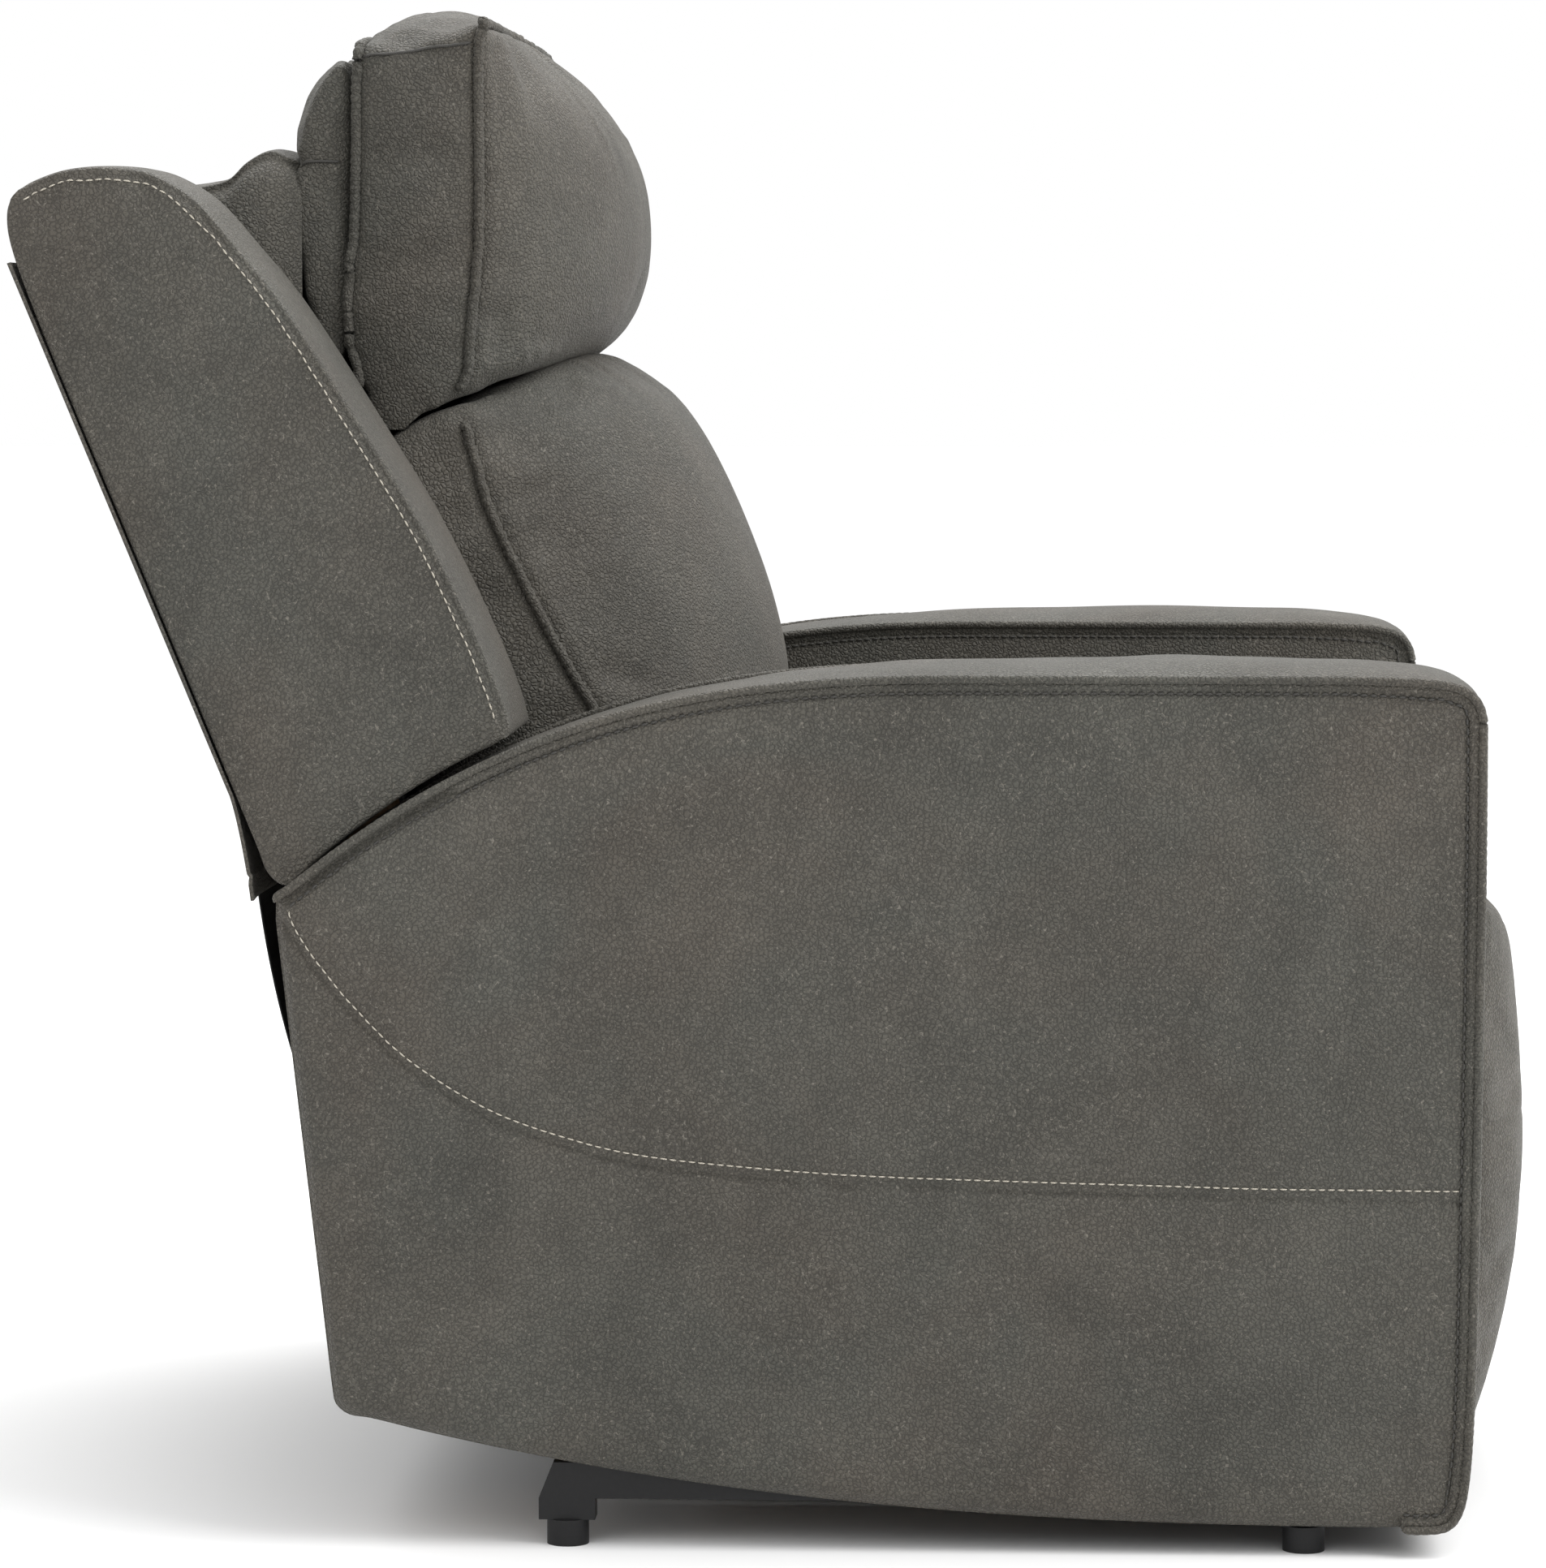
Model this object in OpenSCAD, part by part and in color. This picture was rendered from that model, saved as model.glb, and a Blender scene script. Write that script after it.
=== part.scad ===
// Power recliner armchair, closed, with its headrest tilted forward.
// Millimetres. The chair faces -Y, the sitter's right is -X, and the origin is on the floor,
// under the middle of the chair's box. Inside the modules y is counted from the arm's front
// edge towards the rear, and z from the floor; place() moves the result to the chair's origin.

/* [Arms] */
// Width over both arms
overall_w = 910; // [780:5:1150]
// Width of one arm
arm_w = 165; // [140:5:200]
// Length of an arm from its front edge to its rear corner
arm_len = 819; // [760:5:1000]
// How far the arm's top edge stands above the seat
arm_over_seat = 101; // [85:1:130]
// Drop of the arm's top edge from the front to its rear corner
arm_drop = 155; // [120:5:180]
// Height of the arm's lowest edge above the floor
arm_clear = 20; // [15:1:40]
// Crown of the padding above the arm's seams
arm_crown = 12; // [6:1:16]
// Thickness of the padded arm panels
panel_t = 12; // [8:1:18]

/* [Seat and footrest] */
// Height of the seat above the floor
seat_h = 500; // [420:5:600]
// Thickness of the seat cushion
cushion_t = 100; // [80:5:120]
// Thickness of the footrest pad
pad_t = 56; // [46:1:66]
// Thickness of the footrest board
board_t = 18; // [12:1:22]
// Height of the footrest's lower edge above the floor
footrest_clear = 38; // [30:1:60]

/* [Back] */
// Lean of the back from upright, in degrees
back_rake = 22.4; // [19:0.1:26]
// Length of the wings up the rake
wing_len = 516; // [450:1:600]
// Depth of the wings at right angles to the rake
wing_depth = 199; // [170:1:230]
// Depth of the back cushion's crown at right angles to the rake
lumbar_depth = 357; // [330:1:375]

/* [Headrest] */
// Height of the headrest cushion above its hinge
headrest_h = 290; // [240:1:340]
// Depth of the headrest cushion in front of its hinge
headrest_d = 161; // [130:1:185]

/* [Motion] */
// Recline of the back, in degrees
recline_range = 35; // [20:1:38]
// Forward travel of the seat while the back reclines
slide_forward = 40; // [20:1:45]
// Rise of the seat while the back reclines
slide_up = 15; // [8:1:20]
// Backward tilt of the headrest, in degrees
headrest_range = 24; // [10:1:26]
// Slope of the footrest's path, in degrees above level
footrest_slope = 15; // [10:1:18]
// Angle between the footrest links and their path when closed
link_closed = 80; // [76:1:82]
// Angle between the footrest links and their path when open
link_open = 18; // [15:1:40]
// Travel of a control button
button_travel = 1.5; // [1:0.1:2]

/* [Mechanism] */
// Thickness of the steel plates and links
plate_t = 4; // [3:0.5:5]
// Gap between neighbouring plates
plate_gap = 2; // [1.5:0.1:3]
// Width of a link
link_w = 26; // [22:1:30]
// Diameter of the pivot pins
pin_d = 10; // [8:1:12]
// Radial running clearance of a pin in its link
pin_fit = 0.05; // [0.02:0.01:0.1]
// Length of the links that carry the seat
carrier_len = 180; // [150:5:200]
// Diameter of the round cross tubes
tube_d = 25; // [20:1:28]
// Section of the square base tubes
base_tube = 25; // [20:1:30]
// Height of the floor glides
glide_h = 18; // [12:1:25]
// Diameter of the floor glides
glide_d = 29; // [22:1:34]

/* [Clearances] */
// Between padded pieces of one body
soft_gap = 2; // [1:0.5:4]
// Between padded pieces that move past each other
move_gap = 5; // [4:0.5:8]
// Round each control button
button_gap = 0.3; // [0.2:0.1:0.5]
// Round the pin of a linkage's open pivot
open_gap = 4; // [3:0.5:5]

/* [Hidden] */
$fn = 48;

leather = [0.37, 0.36, 0.33];
wood = [0.72, 0.58, 0.40];
steel = [0.10, 0.10, 0.11];
black = [0.06, 0.06, 0.07];

// --- levels and half widths ---
half_w = overall_w / 2;
seat_half = half_w - arm_w;
arm_h = seat_h + arm_over_seat;
cushion_z = seat_h - cushion_t;
eps = 0.01;

// --- helpers ---
function unit(v) = v / norm(v);
function bez(a, b, c, n = 10) = [for (i = [0:n]) let (k = i / n) (1 - k) ^ 2 * a + 2 * k * (1 - k) * b + k * k * c];
function xy(p) = [p[0], p[1]];
// The corner at b, rounded from d before it to d after it, or less on a short side
function soft_corner(a, b, c, d) = let (k = min(d, 0.48 * norm(a - b), 0.48 * norm(c - b)))
    bez(b + unit(a - b) * k, b, b + unit(c - b) * k, 5);
// An outline from [y, z, cut] vertices
function rounded(p) = [for (i = [0:len(p) - 1])
    let (a = xy(p[(i + len(p) - 1) % len(p)]), b = xy(p[i]), c = xy(p[(i + 1) % len(p)]))
    each (len(p[i]) == 3 ? soft_corner(a, b, c, p[i][2]) : [b])];

module place(y0) { translate([0, -y0, 0]) children(); }
// A slab across X whose side outline is given in [y, z]
module slab(x0, x1, outline) {
    translate([x0, 0, 0]) rotate([90, 0, 90]) linear_extrude(x1 - x0) polygon(outline);
}
module rod(x0, x1, p, d) { translate([x0, p[0], p[1]]) rotate([0, 90, 0]) cylinder(h = x1 - x0, d = d); }
module box(lo, hi) { translate(lo) cube(hi - lo); }
// Side is -1 for the sitter's right and +1 for the left
module on_side(side) { mirror([side < 0 ? 1 : 0, 0, 0]) children(); }
module both_sides() {
    on_side(1) children();
    on_side(-1) children();
}
// A half circle of radius r round p, starting at angle a
function half_round(p, r, a, n = 12) = [for (i = [0:n]) p + r * [cos(a + 180 * i / n), sin(a + 180 * i / n)]];
// A flat link with round ends and a pivot hole at each end
module link(x0, a, b, hole_a, hole_b) {
    lie = atan2(b[1] - a[1], b[0] - a[0]);
    difference() {
        slab(x0, x0 + plate_t, concat(half_round(a, link_w / 2, lie + 90), half_round(b, link_w / 2, lie - 90)));
        rod(x0 - 1, x0 + plate_t + 1, a, hole_a);
        rod(x0 - 1, x0 + plate_t + 1, b, hole_b);
    }
}
module rivet(x0, x1, p, d) {
    rod(x0, x1 + head_t, p, d);
    rod(x1, x1 + head_t, p, d + 6);
}

// --- the arm's outline ---
arm_flat = 330;
arm_foot_len = arm_len - 40;
arm_sweep = 76;
arm_nose = 35;
function arm_top(y) = arm_h - arm_drop * max(0, (y - arm_flat) / (arm_len - arm_flat)) ^ 2.7;
function arm_bottom(y) = arm_clear + arm_sweep * max(0, (y - 23) / (arm_foot_len - 23)) ^ 2.6;
function crown(y) = arm_crown * (1 - max(0, (y - 60) / (arm_len - 60)) ^ 6);
arm_rear_z = arm_h - arm_drop;
arm_foot_z = arm_bottom(arm_foot_len);
function arm_rear(z) = arm_foot_len + (arm_len - arm_foot_len) * (z - arm_foot_z) / (arm_rear_z - arm_foot_z);
function steps(a, b, n) = [for (i = [0:n]) a + (b - a) * i / n];
arm_side = concat(
    bez([0, arm_clear + 14], [0, arm_clear], [14, arm_clear]),
    [for (y = steps(60, arm_foot_len - 12, 12)) [y, arm_bottom(y)]],
    bez([arm_foot_len - 11, arm_foot_z - 2], [arm_foot_len, arm_foot_z], [arm_rear(arm_foot_z + 12), arm_foot_z + 12], 4),
    [for (y = steps(arm_len, arm_flat, 22)) [y, arm_top(y)]],
    bez([arm_nose + 15, arm_h], [0, arm_h], [0, arm_h - arm_nose]));

// --- the seat's slide, its carrier links and its side plates ---
x_rail = seat_half - 14;
x_carrier = x_rail - plate_t - plate_gap;
x_plate = x_carrier - plate_t - plate_gap;
x_lower = x_plate - plate_t - plate_gap;
x_upper = x_lower - plate_t - plate_gap;
x_bracket = x_upper - plate_t - plate_gap;
head_t = plate_gap - 0.3;
slide_len = norm([slide_forward, slide_up]);
carrier_swing = 2 * asin(slide_len / 2 / carrier_len);
carrier_lean = atan(slide_up / slide_forward) + carrier_swing / 2;
base_z = glide_h + 15;
base_top = base_z + base_tube;
carrier_foot_z = base_top + 34;
carrier_feet = [150, arm_len - 299];
function carrier_head(y) = [y + carrier_len * sin(carrier_lean), carrier_foot_z + carrier_len * cos(carrier_lean)];
plate_top = cushion_z - 57;
back_hinge = [arm_len - 119, seat_h - 215];

// --- the footrest's links ---
elbow_z = 68;
lower_z = cushion_z - 152;
link_len = (lower_z - elbow_z) / sin(link_closed - footrest_slope);
function toward(p, angle, len) = p + len * [-cos(angle), sin(angle)];
link_reach = 2 * link_len * cos(link_closed);
footrest_pivot_y = board_t + 38;
lower_pivot = [footrest_pivot_y + link_reach * cos(footrest_slope), lower_z];
footrest_pivot = toward(lower_pivot, footrest_slope, link_reach);
elbow = toward(lower_pivot, footrest_slope - link_closed, link_len);
link_turn = link_closed - link_open;

// --- the drive ---
crank_r = 85;
drive_pin = [lower_pivot[0] + crank_r * tan(link_turn / 2), lower_pivot[1] - crank_r];
crank_fork = 106;
drive_travel = 2 * crank_r * tan(link_turn / 2);
drive_rail_z = drive_pin[1] - 55;
seat_tube = [arm_len - 259, plate_top - 108];

// --- the back's raked frame: t forward from the outside back, s up the rake ---
back_foot = [arm_len - 9, seat_h - 48];
function bk(t, s) = [back_foot[0] - t * cos(back_rake) + s * sin(back_rake),
    back_foot[1] + t * sin(back_rake) + s * cos(back_rake)];
module raked() { translate([0, back_foot[0], back_foot[1]]) rotate([-back_rake, 0, 0]) children(); }
// A box in the raked frame, from [x, t, s] to [x, t, s]
module raked_box(lo, hi) { raked() box([lo[0], -hi[1], lo[2]], [hi[0], -lo[1], hi[2]]); }
shell_t = 6;
shell_top = wing_len - 46;
stile_t = [15, 75];
stile_s = [-20, shell_top - 75];
frame_half = seat_half - 4;
stile_w = 24;
front_y = -(pad_t + 6);
rear_y = bk(-shell_t, shell_top)[0];
y_mid = (front_y + rear_y) / 2;
wing_foot_y = bk(wing_depth - 7, 43)[0];
wing_rear_y = back_foot[0] + 2;
function wing_under(y) = arm_top(y) + crown(y) + move_gap;

// --- the headrest, placed from its hinge ---
headrest_hinge = bk(171, wing_len - 232);
headrest_board_y = [10, 25];
lever_t = 50;
lever_s = wing_len - 216;
lever_pin = bk(lever_t, lever_s);
rod_d = 14;

// ================= base =================
module base_rail() {
    foot = glide_d + 2;
    front = 96;
    rear = arm_len - 180;
    color(steel) slab(half_w - 40, half_w - 20, [[front, glide_h], [front + foot, glide_h],
        [front + foot, base_z], [rear - foot - 8, base_z], [rear - foot - 8, glide_h], [rear, glide_h],
        [rear, base_z], [rear - 10, base_top], [front, base_top]]);
}
module right_base_rail() place(y_mid) on_side(-1) base_rail();
module left_base_rail() place(y_mid) on_side(1) base_rail();
module cross_tube(y) {
    x = half_w - 40;
    color(steel) difference() {
        box([-x, y, base_z], [x, y + base_tube, base_top]);
        box([-x - 1, y + 2, base_z + 2], [x + 1, y + base_tube - 2, base_top - 2]);
    }
}
module front_cross_tube() place(y_mid) cross_tube(112);
module rear_cross_tube() place(y_mid) cross_tube(arm_len - 229);
module floor_glides() place(y_mid) both_sides() color(black)
    for (y = [111.5, arm_len - 199.5]) translate([half_w - 30, y, 0]) cylinder(h = glide_h, d = glide_d);
module mechanism_rails() place(y_mid) both_sides() color(steel) difference() {
    slab(x_rail, x_rail + plate_t, rounded([[100, base_top], [arm_len - 189, base_top],
        [arm_len - 189, base_top + 52, 12], [100, base_top + 52, 12]]));
    for (y = carrier_feet) rod(x_rail - 1, x_rail + plate_t + 1, [y, carrier_foot_z], pin_d);
}
module base_rivets() place(y_mid) both_sides() color(steel)
    for (y = carrier_feet) rivet(x_carrier - 1, x_rail + plate_t, [y, carrier_foot_z], pin_d);

// ================= arms =================
module arm_side_panel() { color(leather) slab(half_w - panel_t, half_w, arm_side); }
module right_arm_side_panel() place(y_mid) on_side(-1) arm_side_panel();
module left_arm_side_panel() place(y_mid) on_side(1) arm_side_panel();

inner_bottom = base_top + 17;
module arm_inner_panel() {
    color(leather) intersection() {
        slab(seat_half, seat_half + panel_t, arm_side);
        box([0, -1, inner_bottom], [half_w, arm_len + 1, arm_h + 1]);
    }
}
control_y = [120, 236];
control_z = [arm_h - 76, arm_h - 38];
module right_arm_inner_panel() place(y_mid) on_side(-1) color(leather) difference() {
    arm_inner_panel();
    box([seat_half - 1, control_y[0] + 6, control_z[0] + 6], [seat_half + 10, control_y[1] - 6, control_z[1] - 6]);
}
module left_arm_inner_panel() place(y_mid) on_side(1) arm_inner_panel();

pad_in = seat_half + panel_t;
pad_out = half_w - panel_t;
front_panel_top = arm_h - 26;
module arm_front_panel() {
    w = pad_out - pad_in;
    color(leather) translate([pad_in, 0, arm_clear + 4]) linear_extrude(front_panel_top - arm_clear - 5)
        polygon(concat([[0, 8]], bez([0, 0], [w / 2, -16], [w, 0]), [[w, 8]]));
}
module right_arm_front_panel() place(y_mid) on_side(-1) arm_front_panel();
module left_arm_front_panel() place(y_mid) on_side(1) arm_front_panel();

pad_under = 14;
module arm_top_pad() {
    outer = concat(bez([-6, front_panel_top], [-6, arm_h + arm_crown], [62, arm_h + arm_crown]),
        [for (y = steps(90, arm_len, 22)) [y, arm_top(y) + crown(y)]]);
    inner = concat([[arm_rear(arm_foot_z + 6), arm_foot_z + 6], [arm_rear(arm_foot_z + 6) - pad_under, arm_foot_z + 6]],
        [for (y = steps(arm_len - 18, arm_flat, 16)) [y, arm_top(y) - pad_under]],
        [[20, arm_h - pad_under], [20, front_panel_top]]);
    color(leather) slab(pad_in, pad_out, concat(outer, inner));
}
module right_arm_top_pad() place(y_mid) on_side(-1) arm_top_pad();
module left_arm_top_pad() place(y_mid) on_side(1) arm_top_pad();

module arm_frames() place(y_mid) both_sides() {
    x0 = pad_in + 25;
    x1 = pad_out - 25;
    post = 40;
    low = base_top + 45;
    rear = arm_len - 95;
    color(wood) {
        box([x0, 12, low], [x1, 12 + post, arm_h - 32]);
        box([x0, rear, low + 20], [x1, rear + post, arm_top(rear + post) - 20]);
        box([x0, 12 + post, low + 30], [x1, rear, low + 70]);
        box([x0, 12 + post, arm_h - 80], [x1, arm_flat + 100, arm_h - 34]);
    }
}

rear_rail_y = arm_len - 47;
module rear_cross_rail() place(y_mid) color(wood)
    box([-seat_half, rear_rail_y, base_top + 52], [seat_half, rear_rail_y + 18, base_top + 172]);

// ================= controls =================
button_pitch = 24;
button_d = 14;
function button_at(i) = [control_y[0] + 22 + i * button_pitch, (control_z[0] + control_z[1]) / 2];
module control_panel() place(y_mid) on_side(-1) color(black) difference() {
    slab(seat_half - 4, seat_half, rounded([[control_y[0], control_z[0], 8], [control_y[1], control_z[0], 8],
        [control_y[1], control_z[1], 8], [control_y[0], control_z[1], 8]]));
    for (i = [0:3]) rod(seat_half - 5, seat_half + 1, button_at(i), button_d + 2 * button_gap);
}
module button(i) place(y_mid) on_side(-1) color([0.25, 0.25, 0.27])
    rod(seat_half - 5.6, seat_half + 6, button_at(i), button_d);
module recline_button() button(0);
module return_button() button(1);
module headrest_up_button() button(2);
module headrest_down_button() button(3);
module control_box() place(y_mid) color(black)
    box([-60, arm_len - 250, base_top], [60, arm_len - 190, base_top + 28]);
inlet_x = -seat_half + 60;
inlet_r = 2.85;
inlet_z = base_top + 112;
module power_inlet() place(y_mid) color(black) difference() {
    box([inlet_x - 14, rear_rail_y + 18, inlet_z - 12], [inlet_x + 14, rear_rail_y + 30, inlet_z + 12]);
    translate([inlet_x, rear_rail_y + 20, inlet_z]) rotate([-90, 0, 0]) cylinder(h = 20, r = inlet_r);
}

// ================= seat carriage =================
module side_plate() {
    color(steel) difference() {
        slab(x_plate, x_plate + plate_t, rounded([[lower_pivot[0] - 24, lower_z - 22, 8],
            [arm_len - 199, lower_z - 22, 8], [arm_len - 94, back_hinge[1] - 23, 12],
            [arm_len - 94, back_hinge[1] + 23, 12], [arm_len - 179, plate_top, 10],
            [60, plate_top], [60, plate_top - 40, 8]]));
        rod(x_plate - 1, x_plate + plate_t + 1, lower_pivot, pin_d);
        rod(x_plate - 1, x_plate + plate_t + 1, back_hinge, pin_d);
        for (y = carrier_feet) rod(x_plate - 1, x_plate + plate_t + 1, carrier_head(y), pin_d);
    }
}
module right_side_plate() place(y_mid) on_side(-1) side_plate();
module left_side_plate() place(y_mid) on_side(1) side_plate();
module seat_cross_tube() place(y_mid) color(steel) difference() {
    rod(-x_plate, x_plate, seat_tube, tube_d);
    rod(-x_plate - 1, x_plate + 1, seat_tube, tube_d - 4);
}
module carriage_rivets() place(y_mid) both_sides() color(steel) {
    for (y = carrier_feet) rivet(x_plate, x_carrier + plate_t, carrier_head(y), pin_d);
    for (p = [lower_pivot, back_hinge]) rivet(x_lower - 1, x_plate + plate_t, p, pin_d);
}
rail_h = 50;
module seat_rail(y) { color(wood) box([-seat_half + 7, y, plate_top], [seat_half - 7, y + 40, plate_top + rail_h]); }
seat_rail_y = [26, arm_len - 219];
module seat_front_rail() place(y_mid) seat_rail(seat_rail_y[0]);
module seat_rear_rail() place(y_mid) seat_rail(seat_rail_y[1]);
strap = [50, 3];
module seat_webbing() place(y_mid) color(black) for (i = [-2:2]) {
    x = i * (seat_half - 60) / 2;
    box([x - strap[0] / 2, seat_rail_y[0], plate_top + rail_h],
        [x + strap[0] / 2, seat_rail_y[1] + 40, plate_top + rail_h + strap[1]]);
}
// The cushion's nose is cut away below, where the footrest's top edge swings past it
nose_y = -pad_t + 29;
seat_end = arm_len - 247;
module seat_cushion() place(y_mid) color(leather) slab(-seat_half + 7, seat_half - 7, rounded([
    [26, cushion_z + 2, 6], [nose_y + 8, cushion_z + 44, 5], [nose_y, cushion_z + 56, 6], [3, seat_h - 8, 28],
    [200, seat_h + 4, 90], [seat_end, seat_h - 6, 18], [seat_end, cushion_z, 8]]));

// ================= drive =================
module drive_rail() place(y_mid) color(steel)
    box([-12, drive_pin[0] - drive_travel - 32, drive_rail_z], [12, seat_tube[0] - 80, drive_rail_z + 12]);
module recline_motor() place(y_mid) color(black) {
    translate([0, seat_tube[0] - 79, drive_rail_z - 12]) difference() {
        box([-40, 0, 0], [40, 85, 50]);
        for (x = [-40, 40]) translate([x, -1, 50]) rotate([0, 45, 0]) cube([14, 88, 14]);
    }
    box([-22, seat_tube[0] - 16, drive_rail_z + 38 - eps], [22, seat_tube[0] + 6, seat_tube[1] - tube_d / 2 - 1]);
}
module drive_block() place(y_mid) color(black) {
    y = drive_pin[0];
    difference() {
        box([-20, y - 25, drive_rail_z - 4], [20, y + 25, drive_rail_z + 21]);
        box([-12.4, y - 26, drive_rail_z - 5], [12.4, y + 26, drive_rail_z + 12.4]);
    }
    box([-6, y - 9, drive_rail_z + 21 - eps], [6, y + 9, drive_pin[1] + 9]);
    rod(-18, 18, drive_pin, pin_d);
}
module carrier_links(y) place(y_mid) both_sides() color(steel)
    link(x_carrier, [y, carrier_foot_z], carrier_head(y), pin_d + 2 * pin_fit, pin_d + open_gap);
module front_carrier_links() carrier_links(carrier_feet[0]);
module rear_carrier_links() carrier_links(carrier_feet[1]);

// ================= footrest =================
module footrest_lower_links() place(y_mid) both_sides() color(steel)
    link(x_lower, lower_pivot, elbow, pin_d + 2 * pin_fit, pin_d);
module crank() {
    arm = crank_fork + 4;
    slot = pin_d + 2 * open_gap;
    translate([0, lower_pivot[0], lower_pivot[1]]) rotate([link_turn / 2, 0, 0]) difference() {
        box([10, -slot / 2 - 8, -arm], [15, slot / 2 + 8, 0]);
        box([9, -slot / 2, -arm - 1], [16, slot / 2, -crank_r + 14]);
    }
}
module torque_tube() place(y_mid) color(steel) {
    difference() {
        union() {
            rod(-x_lower, x_lower, lower_pivot, tube_d);
            both_sides() crank();
        }
        rod(-x_lower - 1, x_lower + 1, lower_pivot, tube_d - 5);
    }
}
module elbow_rivets() place(y_mid) both_sides() color(steel) rivet(x_upper - 1, x_lower + plate_t, elbow, pin_d);
module footrest_upper_links() place(y_mid) both_sides() color(steel)
    link(x_upper, elbow, footrest_pivot, pin_d + 2 * pin_fit, pin_d);
module footrest_rivets() place(y_mid) both_sides() color(steel)
    rivet(x_bracket - 1, x_upper + plate_t, footrest_pivot, pin_d);
module footrest_brackets() place(y_mid) both_sides() color(steel) difference() {
    slab(x_bracket, x_bracket + plate_t, rounded([[board_t - 4, footrest_pivot[1] - 60],
        [footrest_pivot[0], footrest_pivot[1] - 16, 10], [footrest_pivot[0] + 14, footrest_pivot[1], 10],
        [footrest_pivot[0], footrest_pivot[1] + 16, 10], [board_t - 4, footrest_pivot[1] + 60]]));
    rod(x_bracket - 1, x_bracket + plate_t + 1, footrest_pivot, pin_d + 2 * pin_fit);
}
module footrest_board() place(y_mid) color(wood)
    box([-seat_half + 12, -4, footrest_clear + 4], [seat_half - 12, board_t - 4, cushion_z - 4]);
module footrest_pad() place(y_mid) color(leather) slab(-seat_half + 6, seat_half - 6, rounded([
    [-6, footrest_clear, 4], [-pad_t + 26, footrest_clear, 18], [-pad_t - 7, footrest_clear + 160, 70],
    [-pad_t - 6, cushion_z - 120, 50], [-pad_t + 10, cushion_z, 12], [nose_y - 4, cushion_z + 34, 8],
    [-6, cushion_z, 4]]));

// ================= back =================
module back_hinge_brackets() place(y_mid) both_sides() color(steel) difference() {
    slab(x_lower, x_lower + plate_t, rounded([[back_hinge[0] - 18, back_hinge[1] - 8, 8],
        [back_hinge[0] + 12, back_hinge[1] - 16, 8], concat(bk(38, 30), [6]), concat(bk(38, 110), [6]),
        concat(bk(66, 110), [6]), concat(bk(66, -10), [20])]));
    rod(x_lower - 1, x_lower + plate_t + 1, back_hinge, pin_d + 2 * pin_fit);
}
stile_x = x_lower + plate_t;
module back_stiles() place(y_mid) both_sides() color(wood)
    raked_box([stile_x, stile_t[0], stile_s[0]], [stile_x + stile_w, stile_t[1], stile_s[1]]);
module back_rails() place(y_mid) color(wood)
    for (s = [[-20, 20], [70, 100], [stile_s[1] - 28, stile_s[1]]])
        raked_box([-stile_x, stile_t[0], s[0]], [stile_x, stile_t[0] + 15, s[1]]);
module back_webbing() place(y_mid) color(black) for (s = [10:50:160])
    raked_box([-stile_x - stile_w, stile_t[1], s], [stile_x + stile_w, stile_t[1] + strap[1], s + 36]);
module outside_back() place(y_mid) color(leather) {
    raked_box([-half_w + 8, -shell_t, 10], [half_w - 8, 0, shell_top]);
    raked_box([-seat_half + 5, -shell_t, -14], [seat_half - 5, 0, 10 + eps]);
}
module wing() {
    side = concat([for (y = steps(wing_foot_y, wing_rear_y, 8)) [y, wing_under(y)]],
        [bk(soft_gap, 30), bk(soft_gap, shell_top - 2)],
        soft_corner(bk(soft_gap, shell_top - 2), bk(5, wing_len + 4), bk(118, wing_len - 8), 26),
        soft_corner(bk(5, wing_len + 4), bk(118, wing_len - 8), bk(wing_depth - 57, wing_len - 64), 32),
        bez(bk(wing_depth - 57, wing_len - 64), bk(wing_depth + 12, 193), [wing_foot_y, wing_under(wing_foot_y) + 12], 14));
    color(leather) slab(seat_half + 2, half_w - 8, side);
}
module right_wing() place(y_mid) on_side(-1) wing();
module left_wing() place(y_mid) on_side(1) wing();
module back_cushion() {
    bottom = seat_h + move_gap + 2;
    front = bez(bk(lumbar_depth - 46, 268), bk(lumbar_depth + 32, 125), bk(lumbar_depth - 15, -8), 12);
    tail = seat_end + 9;
    place(y_mid) color(leather) slab(-seat_half + 8, seat_half - 8, concat(front,
        bez(bk(lumbar_depth - 15, -10), [front[12][0] + 4, bottom], [front[12][0] + 45, bottom], 5),
        [[tail, bottom], [tail, seat_h - 66], [bk(84, -60)[0], seat_h - 66], bk(84, 235), bk(165, 245),
            bk(205, 252)]));
}
dust_t = 3;
module rear_dust_cover() place(y_mid) color(black) {
    a = bk(-shell_t + 4, -16);
    slab(-seat_half + 6, seat_half - 6, [a, a + [-12, -60], a + [-29, -138], a + [-29 - dust_t, -138],
        a + [-12 - dust_t, -60], a + [-dust_t, 0]]);
}

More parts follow.
